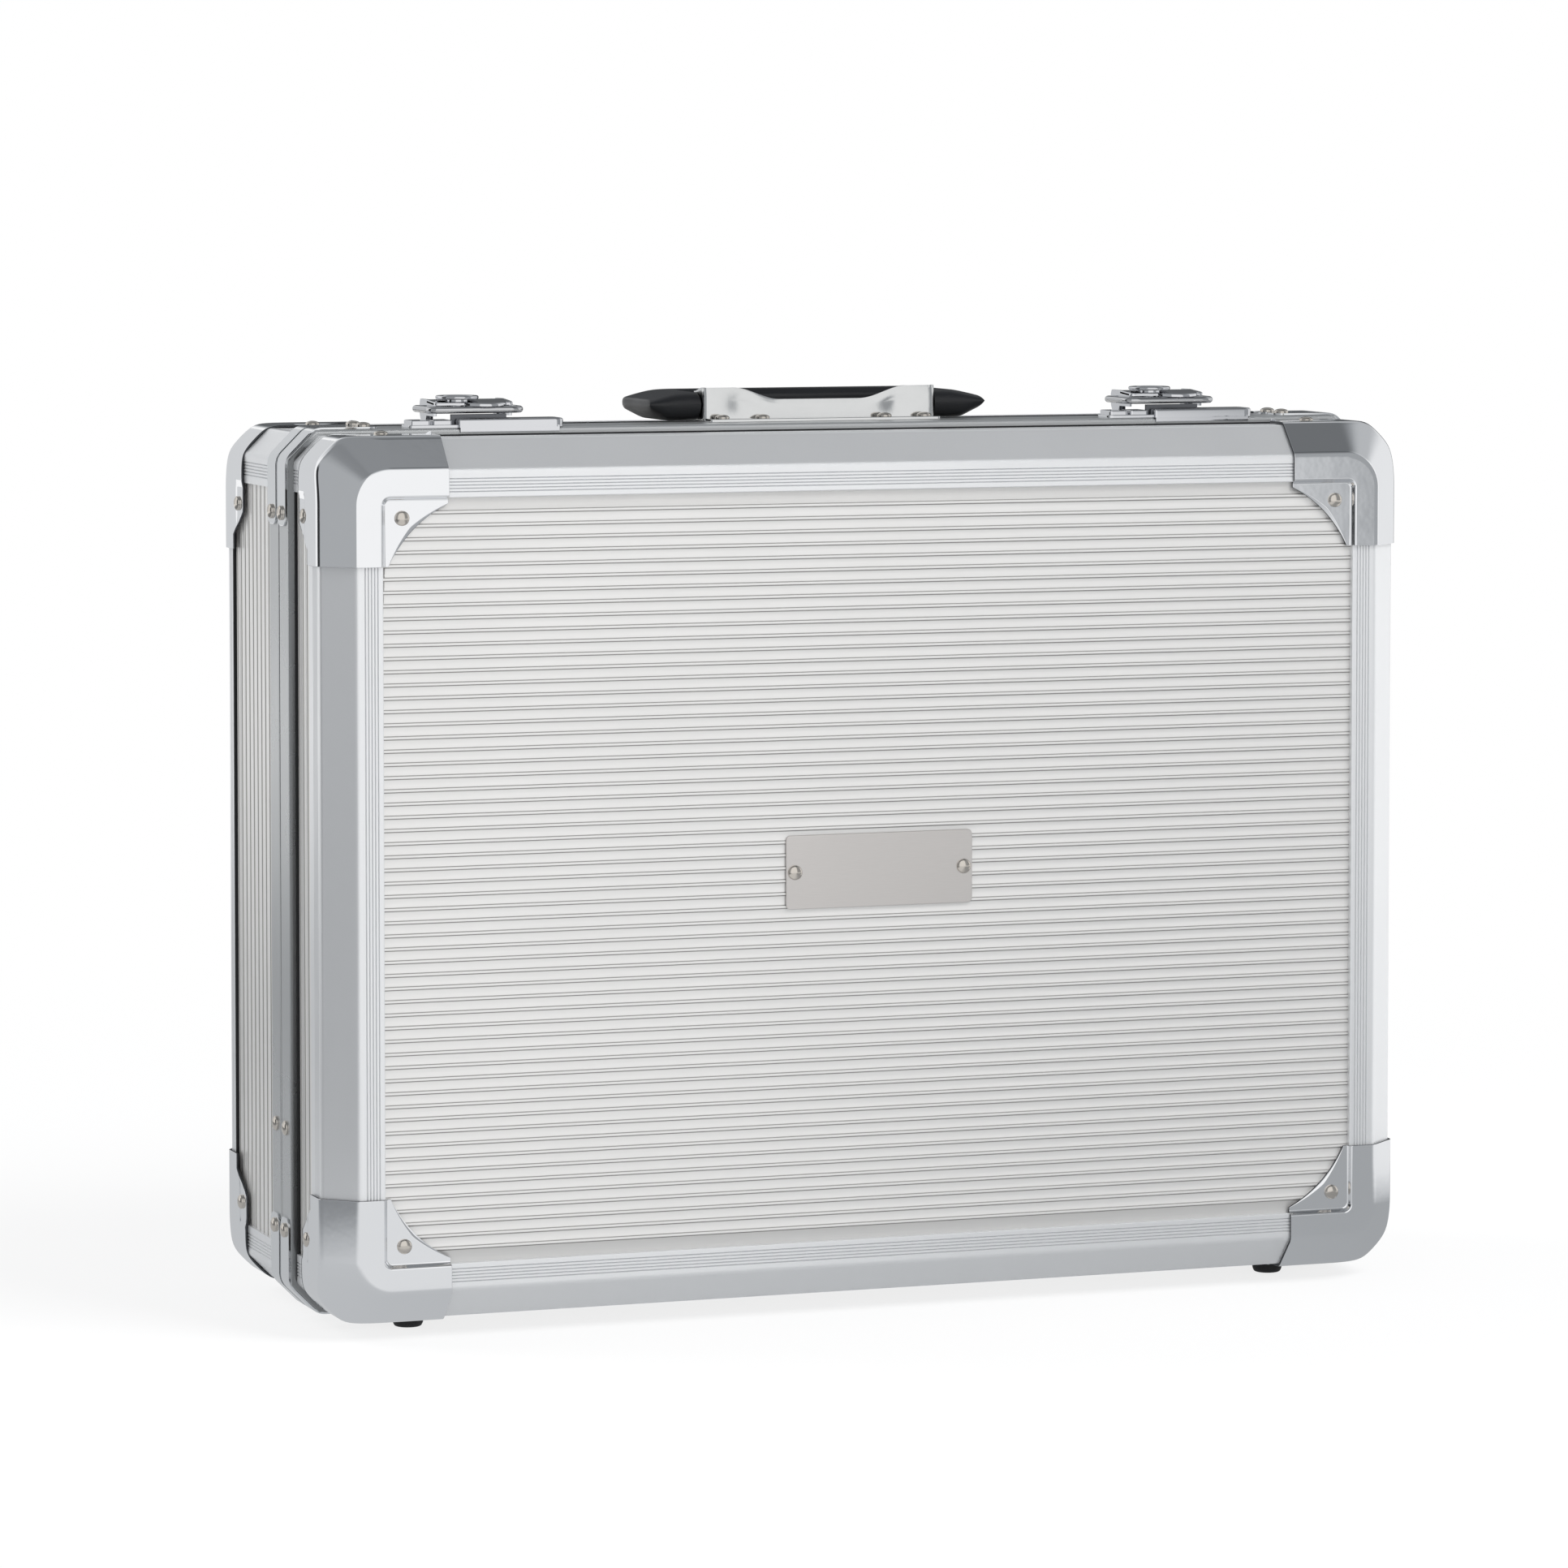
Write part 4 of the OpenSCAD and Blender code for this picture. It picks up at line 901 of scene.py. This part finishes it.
def grip_section(wide, point):
    """Section from the inner edge outwards: flat inside, drawn to a blunt point outside.

    point goes from 1, where the outer side is drawn out to the point, to 0, where it is
    rounded.
    """
    tall = grip_top - grip_foot
    sharp = [[wide * 0.5, 0], [0.6, 0], [0, 0.6], [0, tall - 0.6], [0.6, tall],
             [wide - 13, tall], [wide - 5, tall - 1.7], [wide, tall - 3.0],
             [wide, tall - 7.0], [wide - 8.5, 0], [wide * 0.5, 0]]
    blunt = [[wide * 0.5, 0], [2.5, 0], [0, 2.5], [0, tall - 2.5], [2.5, tall],
             [wide - 4.5, tall], [wide - 1.6, tall - 1.2], [wide, tall - 4.0],
             [wide, 4.0], [wide - 3.5, 0], [wide * 0.5, 0]]
    corners = np.array(sharp) * point + np.array(blunt) * (1 - point)
    return eased(corners, [0, 1, 1, 1, 1, 5, 3, 1.5, 2, 3, 0], 6)[:-1]


def grip_surface():
    """Stations from the nose of the left arm to the middle of the bar, then mirrored.

    The nose is round seen from the side: its section shrinks towards the height of the
    pins as the square root of 1 minus the square of the distance in front of them.
    """
    pivot_y, pivot_z, nose = 16.5, 9.0, 6.3
    quarter = math.pi / 2
    # Inner edge, way outwards, offset, width, how pointed, how tall
    rows = [((-arm_in, pivot_y - nose * math.cos(angle)), (-1, 0), 0.0, arm_wide, 1.0,
             max(0.05, math.sin(angle))) for angle in np.linspace(0, quarter, 9)]
    rows += [((-arm_in, y), (-1, 0), 0.0, arm_wide, 1.0, 1.0)
             for y in np.linspace(pivot_y, bar_in - bar_bend, 8)[1:]]
    rows += [((-arm_in + bar_bend, bar_in - bar_bend), (-math.cos(angle), math.sin(angle)),
              bar_bend, float(arm_wide + (bar_wide - arm_wide) * ramp(angle, 0, 1.57)),
              1 - float(ramp(angle, 0, 1.4)), 1.0)
             for angle in np.linspace(0, quarter, 17)[1:]]
    rows += [((x, bar_in), (0, 1), 0.0, bar_wide, 0.0, 1.0)
             for x in np.linspace(-arm_in + bar_bend, 0, 8)[1:]]
    made = []
    for base_point, way, offset, wide, point, squeeze in rows:
        section = grip_section(wide, point)
        out = offset + section[:, :1]
        plan = np.array(base_point) + np.array(way) * out
        z = pivot_z + (grip_foot + section[:, 1] - pivot_z) * squeeze
        made.append(on_top(plan[:, 0], plan[:, 1], z))
    left = np.stack(made)
    right = left[-2::-1] * [-1, 1, 1]
    return np.concatenate([left, right])


# Moulded polypropylene is a deep black that hands have polished in patches of about 25 mm.
# The spark-eroded grain of the mould is 1.6 to the millimetre
grip_plastic, tree, spot = blank("moulded polypropylene")
fine = add(tree, "ShaderNodeTexNoise", inputs={
    "Vector": spot, "Scale": 1.6 * metre, "Detail": 2.0})
skin = add(tree, "ShaderNodeBump", inputs={
    "Strength": 0.3, "Distance": relief, "Height": fine})
broad = add(tree, "ShaderNodeTexNoise", inputs={
    "Vector": spot, "Scale": metre / 25, "Detail": 4.0})
worn = add(tree, "ShaderNodeMapRange", inputs={
    "Value": broad, "From Min": 0.3, "From Max": 0.7, "To Min": 0.3, "To Max": 0.45})
shader = add(tree, "ShaderNodeBsdfPrincipled", inputs={
    "Base Color": linear("#131417"), "Roughness": worn, "Normal": skin})
add(tree, "ShaderNodeOutputMaterial", inputs={"Surface": shader})
make("handle_grip", [tube(grip_surface())], grip_plastic, "handle", ["handle_grip"],
     sharp=40)

# ---------------------------------------------------------------------------
# Latches: a plated lever turns on a pin between two ears and pulls a wire bail tight over
# the ridge of the keeper on the lid. A key lock sits in the lever.

# Polished chromium on the stampings, and a slightly darker mirror on the drawn wire
latch_metal = metal("chromium plated latch", "#DADBDE", 0.07, spread=0.01, grain=2.0,
                    mottle=0.5)
wire_metal = metal("chromium plated wire", "#C8C9CB", 0.06, spread=0.01, grain=2.0)
# Middle of the lever from the latch's middle, place of its pin, half width of the lever
off_x, pivot_y, pivot_z, cheek = -3.0, 7.0, 9.0, 16.0
# Half width of the bail, and radius of its wire
bail_half, wire_r = 20, 1.35


def round_wire(path):
    """Tube along a level path: circles in the plane of the path's normal and the vertical."""
    way = np.gradient(path, axis=0)
    side = np.stack([-way[:, 1], way[:, 0]], axis=1)
    side /= np.linalg.norm(side, axis=1, keepdims=True)
    angle = np.linspace(0, 2 * math.pi, 20, endpoint=False)
    plan = path[:, None] + side[:, None] * (wire_r * np.cos(angle))[None, :, None]
    lift = np.broadcast_to(wire_r * np.sin(angle), plan.shape[:2])
    return np.concatenate([plan, lift[..., None]], axis=2)


def upright(side, out, ease):
    """Two upright walls with this outline, at both sides of the latch."""
    thick = 1.2
    walls = [slab(side, x, x + thick, ease) for x in (off_x - out, off_x + out - thick)]
    return [np.stack([wall[..., 2], wall[..., 0], wall[..., 1]], axis=-1)
            for wall in walls]


def lever_parts():
    """Top plate with its round thumb end, and two cheeks with round rear ends."""
    # The thumb end is an arc that meets the front edge 24.9 degrees below its centre
    angle = np.linspace(math.radians(204.9), math.radians(335.1), 33)
    thumb_x, thumb_y, thumb_r, rear_r = 1.5, -4, 9.5, 6.4
    thumb = np.stack([thumb_x + thumb_r * np.cos(angle),
                      thumb_y + thumb_r * np.sin(angle)], axis=1)
    left, right, rear_y = off_x - cheek, off_x + cheek, 4.4
    outline = np.concatenate([
        eased([[0, rear_y], [left, rear_y], [left, -8], thumb[0]], [0, 1, 1.5, 0]),
        thumb[1:-1],
        eased([thumb[-1], [right, -8], [right, rear_y], [0, rear_y]], [0, 1.5, 1, 0])[:-1]])
    plate = slab(outline, pivot_z + 2.6, pivot_z + 3.8, 0.55)
    # The plate drops towards the thumb, by 0.07 mm in each millimetre
    plate[..., 2] += 0.07 * np.minimum(plate[..., 1] - rear_y, 0)
    parts = [plate]
    rear = np.linspace(math.radians(-100), math.radians(36), 25)
    side = np.stack([pivot_y + rear_r * np.cos(rear),
                     pivot_z + rear_r * np.sin(rear)], axis=1)
    side = np.concatenate([[[-6, pivot_z - 2.6], [4, pivot_z - 2.6]], side,
                           [[rear_y, pivot_z + 3.8], [-6, pivot_z + 3.1]]])
    side = eased(np.concatenate([side[-1:], side[:-1], side[-1:]]), 0.0, 2)[:-1]
    return parts + upright(side, cheek, 0.3)


def bail_parts():
    """Wire from one inward end round the front to the other."""
    x, y0, y1, stub = bail_half - wire_r, -11.0, 10.5, 3.6
    path = eased([[x - stub, y1], [x, y1], [x, y0], [0, y0], [-x, y0], [-x, y1],
                  [stub - x, y1]], [0, 1.2, 4.6, 0, 4.6, 1.2, 0], 12)
    keep = np.linalg.norm(np.diff(path, axis=0), axis=1) > 1e-4
    path = path[np.concatenate([keep, [True]])]
    return [round_wire(path) + [off_x, 0, pivot_z]]


def plate_parts():
    """Base plate and two ears that carry the lever's pin."""
    ear, ear_r = cheek - 1.8, 2.3
    parts = [slab(box_outline(off_x - ear, off_x + ear, 0.8, 13.4, 1.5), 2.2, 3.2, 0.25)]
    angle = np.linspace(0, math.pi, 17)
    side = np.stack([pivot_y + ear_r * np.cos(angle), pivot_z + ear_r * np.sin(angle)],
                    axis=1)
    side = np.concatenate([side, [[pivot_y - ear_r, 2.4], [pivot_y + ear_r, 2.4]]])
    return parts + upright(side, ear, 0.2)


def lock_parts():
    """Barrel, wide rim with a rounded edge, sunk ring and round core, turned about one axis."""
    line = eased([[0, 8.2], [4.2, 8.2], [4.2, 12.9], [8.5, 12.9], [8.5, 14.4], [6.6, 14.4],
                  [5.6, 13.4], [4.4, 13.4], [4.1, 14.1], [0, 14.1]],
                 [0, 0.2, 0.2, 0.75, 0.95, 0.7, 0.4, 0.2, 0.4, 0], 7)
    return [turned(line, 56) + [-8, -1, 0]]


def keeper_parts():
    """Foot, raised pad with rounded corners, the thin wall before it and two blocks."""
    left, low = -31.0, -13.0
    pad = np.array([[50, -1.8], [63, -1.8], [63, 12], [41, 12], [41, 3.2], [19.6, 3.2],
                    [19.6, -1.8], [50, -1.8]]) + [left, low]
    parts = [slab(box_outline(left, left + 63, low, low + 12, 2.0), 2.2, 3.4, 0.3),
             slab(eased(pad, [0, 3.5, 3.5, 1, 0.8, 1, 1, 0])[:-1], 2.2, 5.6, 0.9),
             slab(box_outline(left + 20.2, left + 61, low - 1.74, low - 1.1, 0.3), 0.5, 3.0,
                  0.1)]
    return parts + [slab(box_outline(x, x + 7.9, low + 0.6, low + 11.6, 1.0), 2.4, 5.2, 0.5)
                    for x in (left + 1, left + 9.9)]


def latch_piece(side, parts, shape=tube):
    """The parts moved to the latch on that side, as grids."""
    return [shape(part + [side * latch_x, parting, top]) for part in parts]


pins_low, pins_high = millimetres("latch_pins")
latch_x = (pins_high[0] - pins_low[0] - 2 * cheek) / 2
for side, word in ((-1, "left"), (1, "right")):
    for kind, parts, finish, body, slot, sharp in (
            ("plate", latch_piece(side, plate_parts()), latch_metal, "base",
             "plated_steel", 45),
            ("lever", latch_piece(side, lever_parts()), latch_metal, f"lever_{word}",
             "plated_steel", 45),
            ("bail", latch_piece(side, bail_parts()), wire_metal, f"bail_{word}",
             "wire_steel", 60),
            ("lock", latch_piece(side, lock_parts(), spun), latch_metal, f"lock_{word}",
             "lock_metal", 40)):
        name = f"latch_{kind}_{word}"
        make(name, parts, finish, body, [name], sharp)
both = [piece for side in (-1, 1) for piece in latch_piece(side, keeper_parts())]
make("latch_keepers", both, latch_metal, "lid", ["latch_keepers"], sharp=45)

# ---------------------------------------------------------------------------
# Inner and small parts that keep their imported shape: plywood boards behind the sheets,
# moulded felt lining trays, the rubber seal, the hinge, turned pins and small rivets and
# catches of the latches.


def finish_nodes(finish, *names):
    """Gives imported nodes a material, in the material slots that they already have."""
    for name in names:
        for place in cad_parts[name].material_slots:
            place.link = "OBJECT"
            place.material = finish


# Birch plywood is pale and warm, with a rotary-cut figure about 21 mm long, 4 mm wide and
# 3 mm deep
board, tree, spot = blank("birch plywood")
drawn = add(tree, "ShaderNodeVectorMath", {"operation": "MULTIPLY"},
            {0: spot, 1: (12.0, 60.0, 90.0)})
figure = add(tree, "ShaderNodeTexNoise", inputs={
    "Vector": drawn, "Scale": 4.0, "Detail": 5.0, "Distortion": 0.6})
tone = add(tree, "ShaderNodeMix", {"data_type": "RGBA"},
           {0: figure, 6: linear("#A9875A"), 7: linear("#D2B285")})
shader = add(tree, "ShaderNodeBsdfPrincipled", inputs={
    "Base Color": tone.outputs[2], "Roughness": 0.6})
add(tree, "ShaderNodeOutputMaterial", inputs={"Surface": shader})
finish_nodes(board, "lid_boards", "base_boards")

# Needle felt swallows the light and shows a faint sheen. Its fibres, 1.4 to the millimetre,
# are drawn coarser than real ones, so that they show
felt, tree, spot = blank("needle felt")
fibre = add(tree, "ShaderNodeTexNoise", inputs={
    "Vector": spot, "Scale": 1.4 * metre, "Detail": 4.0})
tone = add(tree, "ShaderNodeMix", {"data_type": "RGBA"},
           {0: fibre, 6: linear("#1C1D20"), 7: linear("#3A3C41")})
nap = add(tree, "ShaderNodeBump", inputs={
    "Strength": 0.6, "Distance": 2 * relief, "Height": fibre})
shader = add(tree, "ShaderNodeBsdfPrincipled", inputs={
    "Base Color": tone.outputs[2], "Roughness": 0.95, "Sheen Weight": 0.3, "Normal": nap})
add(tree, "ShaderNodeOutputMaterial", inputs={"Surface": shader})
finish_nodes(felt, "lid_lining", "base_lining")
finish_nodes(rubber, "lid_seal")

# A satin hinge, glossier ground pins, mirror-like plated rivets and dark catches
for finish, *names in (
        (metal("anodised aluminium hinge", "#C9CACB", 0.3, spread=0.03, grain=0.6,
               soft_edge=0.3), "lid_hinge_leaf", "base_hinge_leaf"),
        (metal("bright steel pin", "#B9BABC", 0.2, spread=0.03, grain=1.0, soft_edge=0.2),
         "hinge_pin", "handle_pins", "latch_pins"),
        (metal("chromium plated stamping", "#EDEEF0", 0.09, spread=0.01, grain=2.0,
               soft_edge=0.25), "latch_rivets"),
        (metal("blackened steel", "#6C6E72", 0.3, spread=0.06, grain=0.8, soft_edge=0.25),
         "latch_catches")):
    finish_nodes(finish, *names)

# ---------------------------------------------------------------------------
# Studio: a pale floor that keeps the case's shadow, a white surround, two soft lamps, and
# a cloth tent with soft grey flags round the case, which shows in reflections only.


def shown_to_eye(tree):
    """1 for what the camera sees directly, in a mirror or through glass, 0 for the rest."""
    path = add(tree, "ShaderNodeLightPath")
    both = add(tree, "ShaderNodeMath", {"operation": "MAXIMUM"},
               {0: path.outputs["Is Camera Ray"], 1: path.outputs["Is Glossy Ray"]})
    return add(tree, "ShaderNodeMath", {"operation": "MAXIMUM"},
               {0: both, 1: path.outputs["Is Transmission Ray"]})


world = bpy.data.worlds.new("studio")
bpy.context.scene.world = world
world.use_nodes = True
tree = world.node_tree
tree.nodes.clear()
dim = add(tree, "ShaderNodeBackground", inputs={"Color": linear("#F4F6FA"), "Strength": 0.55})
white = add(tree, "ShaderNodeBackground", inputs={"Color": (1, 1, 1, 1), "Strength": 1.0})
mix = add(tree, "ShaderNodeMixShader",
          inputs={0: shown_to_eye(tree), 1: dim, 2: white})
add(tree, "ShaderNodeOutputWorld", inputs={"Surface": mix})

# The floor reaches 9 m to each side
x, y, z = np.meshgrid([-9000, 9000], [-9000, 9000], 0, indexing="ij")
floor = placed("floor", joined("floor", [grid(np.stack([x, y, z], axis=-1)[:, :, 0])]))
paint, tree, spot = blank("white floor paint")
away = add(tree, "ShaderNodeVectorMath", {"operation": "LENGTH"}, {0: spot})
# Full white from 1.1 m out, so that the floor meets the surround without a line
fade = add(tree, "ShaderNodeMapRange", {"interpolation_type": "SMOOTHSTEP"},
           {"Value": away.outputs["Value"], "From Min": 0.25, "From Max": 1.1,
            "To Min": 0.8, "To Max": 1.0})
part = add(tree, "ShaderNodeMath", {"operation": "MULTIPLY"},
           {0: fade, 1: shown_to_eye(tree)})
matt = add(tree, "ShaderNodeBsdfDiffuse", inputs={"Color": linear("#F2F2F2")})
glow = add(tree, "ShaderNodeEmission", inputs={"Color": (1, 1, 1, 1), "Strength": 1.0})
mix = add(tree, "ShaderNodeMixShader",
          inputs={0: part, 1: matt, 2: glow})
add(tree, "ShaderNodeOutputMaterial", inputs={"Surface": mix})
floor.data.materials.append(paint)


def flag(value, low, high, soft):
    """1 between low and high, falling to 0 over the soft margin outside them."""
    return ramp(value, low - soft, low) * (1 - ramp(value, high, high + soft))


def tent_tone(bearing, height):
    """Tone of the tent by bearing, in degrees from -Y towards +X, and by height.

    White cloth is darkened by soft-edged grey flags, each a product of two ramps: beside
    the front on the right and on the left, on both sides, overhead, and behind.
    """
    tone = np.ones(np.broadcast(bearing, height).shape)
    dark = [(0.60, flag(bearing, 26.6, 62, 1.2) * flag(height, -30, 60, 12)),
            (0.54, flag(bearing, -98, -34, 6) * flag(height, -30, 50, 15)),
            (0.12, flag(bearing, 80, 125, 10) * flag(height, -30, 40, 10)),
            (0.93, flag(bearing, -104, -80, 3) * flag(height, -30, 30, 10)),
            (0.70, ramp(height, 40 - 22 * ramp(np.abs(bearing), 110, 160), 62)),
            (0.38, flag(bearing, 68, 125, 12) * flag(height, 35, 80, 12)),
            (0.86, flag(bearing, 128, 172, 6) * flag(height, -30, 30, 12)),
            (0.30, flag(bearing, -180, -140, 8) * flag(height, -30, 20, 10))]
    for depth_of_grey, share_of_flag in dark:
        tone = tone * (1 - depth_of_grey * share_of_flag)
    return tone


def mat_tone(x, y):
    """Tone of the mat on the floor, in metres from the case's middle: grey beside it."""
    bearing = np.degrees(np.arctan2(x, -y))
    tone = 0.5 - 0.08 * np.clip(x / 0.25, -1, 1)
    front_left = ramp(-y, 0.1, 0.2) * (1 - ramp(x + 0.376 * y + 0.035, -0.1, 0.1))
    front_left = front_left * ramp(x, -0.5, -0.3)
    tone = tone + (0.8 - tone) * front_left
    tone = tone - 0.3 * (1 - ramp(x, -0.55, -0.38))
    tone = tone + (0.88 - tone) * ramp(x, 0.36, 0.5) * ramp(y, -0.45, -0.25)
    tone = tone + (1 - tone) * ramp(np.hypot(x, y), 1.2, 2.2)
    return tone * (1 - 0.6 * flag(bearing, -98, -38, 8) * ramp(np.hypot(x, y), 0.9, 1.5))


def tent():
    """A dome and a mat that only reflections show, with a tone at each point.

    The dome is a sphere of 3.5 m by bearing and height, and the mat is a flat square.
    """
    bearing, height = np.meshgrid(np.linspace(-180, 180, 181), np.linspace(-8, 90, 60))
    a, b = np.radians(bearing), np.radians(height)
    dome_points = 3500 * np.stack([np.sin(a) * np.cos(b), -np.cos(a) * np.cos(b),
                                   np.sin(b)], axis=-1) + [0, 0, 120]
    x, y = np.meshgrid(np.linspace(-3.2, 3.2, 161), np.linspace(-3.2, 3.2, 161))
    mat_points = np.stack([x, y, np.full_like(x, 0.0004)], axis=-1) * metre
    tones = np.concatenate([tent_tone(bearing, height).ravel(), mat_tone(x, y).ravel()])
    made = placed("tent", joined("tent", [grid(dome_points), grid(mat_points)]))
    layer = made.data.attributes.new("tone", "FLOAT", "POINT")
    layer.data.foreach_set("value", tones.astype(np.float32))
    cloth, tree, _ = blank("tent cloth and grey flags")
    tone = add(tree, "ShaderNodeAttribute", {"attribute_name": "tone"}).outputs["Fac"]
    tint = add(tree, "ShaderNodeMix", {"data_type": "RGBA"},
               {0: tone, 6: linear("#EEF4FA"), 7: (1, 1, 1, 1)})
    glow = add(tree, "ShaderNodeEmission", inputs={"Color": tint.outputs[2],
                                                   "Strength": tone})
    add(tree, "ShaderNodeOutputMaterial", inputs={"Surface": glow})
    made.data.materials.append(cloth)
    for kind in ("camera", "diffuse", "shadow", "transmission"):
        setattr(made, f"visible_{kind}", False)


tent()


case_middle = Vector((0, 0, 0.18))


def lamp(name, bearing, height, size, distance, power):
    """A square soft lamp aimed at the case's middle."""
    a, b = math.radians(bearing), math.radians(height)
    out = Vector((math.sin(a) * math.cos(b), -math.cos(a) * math.cos(b), math.sin(b)))
    light = bpy.data.lights.new(name, "AREA")
    light.shape = "SQUARE"
    light.size = size
    light.energy = power
    made = placed(name, light)
    made.location = case_middle + out * distance
    made.rotation_euler = (-out).to_track_quat("-Z", "Y").to_euler()
    made.visible_camera = False
    made.visible_glossy = False


lamp("lamp_front_right", 35, 45, 1.4, 3.0, 74)
lamp("lamp_left", -125, 35, 1.4, 3.2, 36)

# A long lens from the left and a little above, shifted so that the case fills the frame
camera = placed("camera", bpy.data.cameras.new("camera"))
camera.data.lens = 149.67
camera.data.sensor_width = 36.0
camera.data.shift_y = -0.1452
camera.data.clip_end = 60.0
camera.location = (-0.8994, -2.4610, 0.4568)
turn, down = math.radians(19.82), math.radians(3.546)
look = Vector((math.sin(turn) * math.cos(down), math.cos(turn) * math.cos(down),
               -math.sin(down)))
camera.rotation_euler = look.to_track_quat("-Z", "Y").to_euler()
scene = bpy.context.scene
scene.camera = camera
scene.view_settings.view_transform = "Standard"
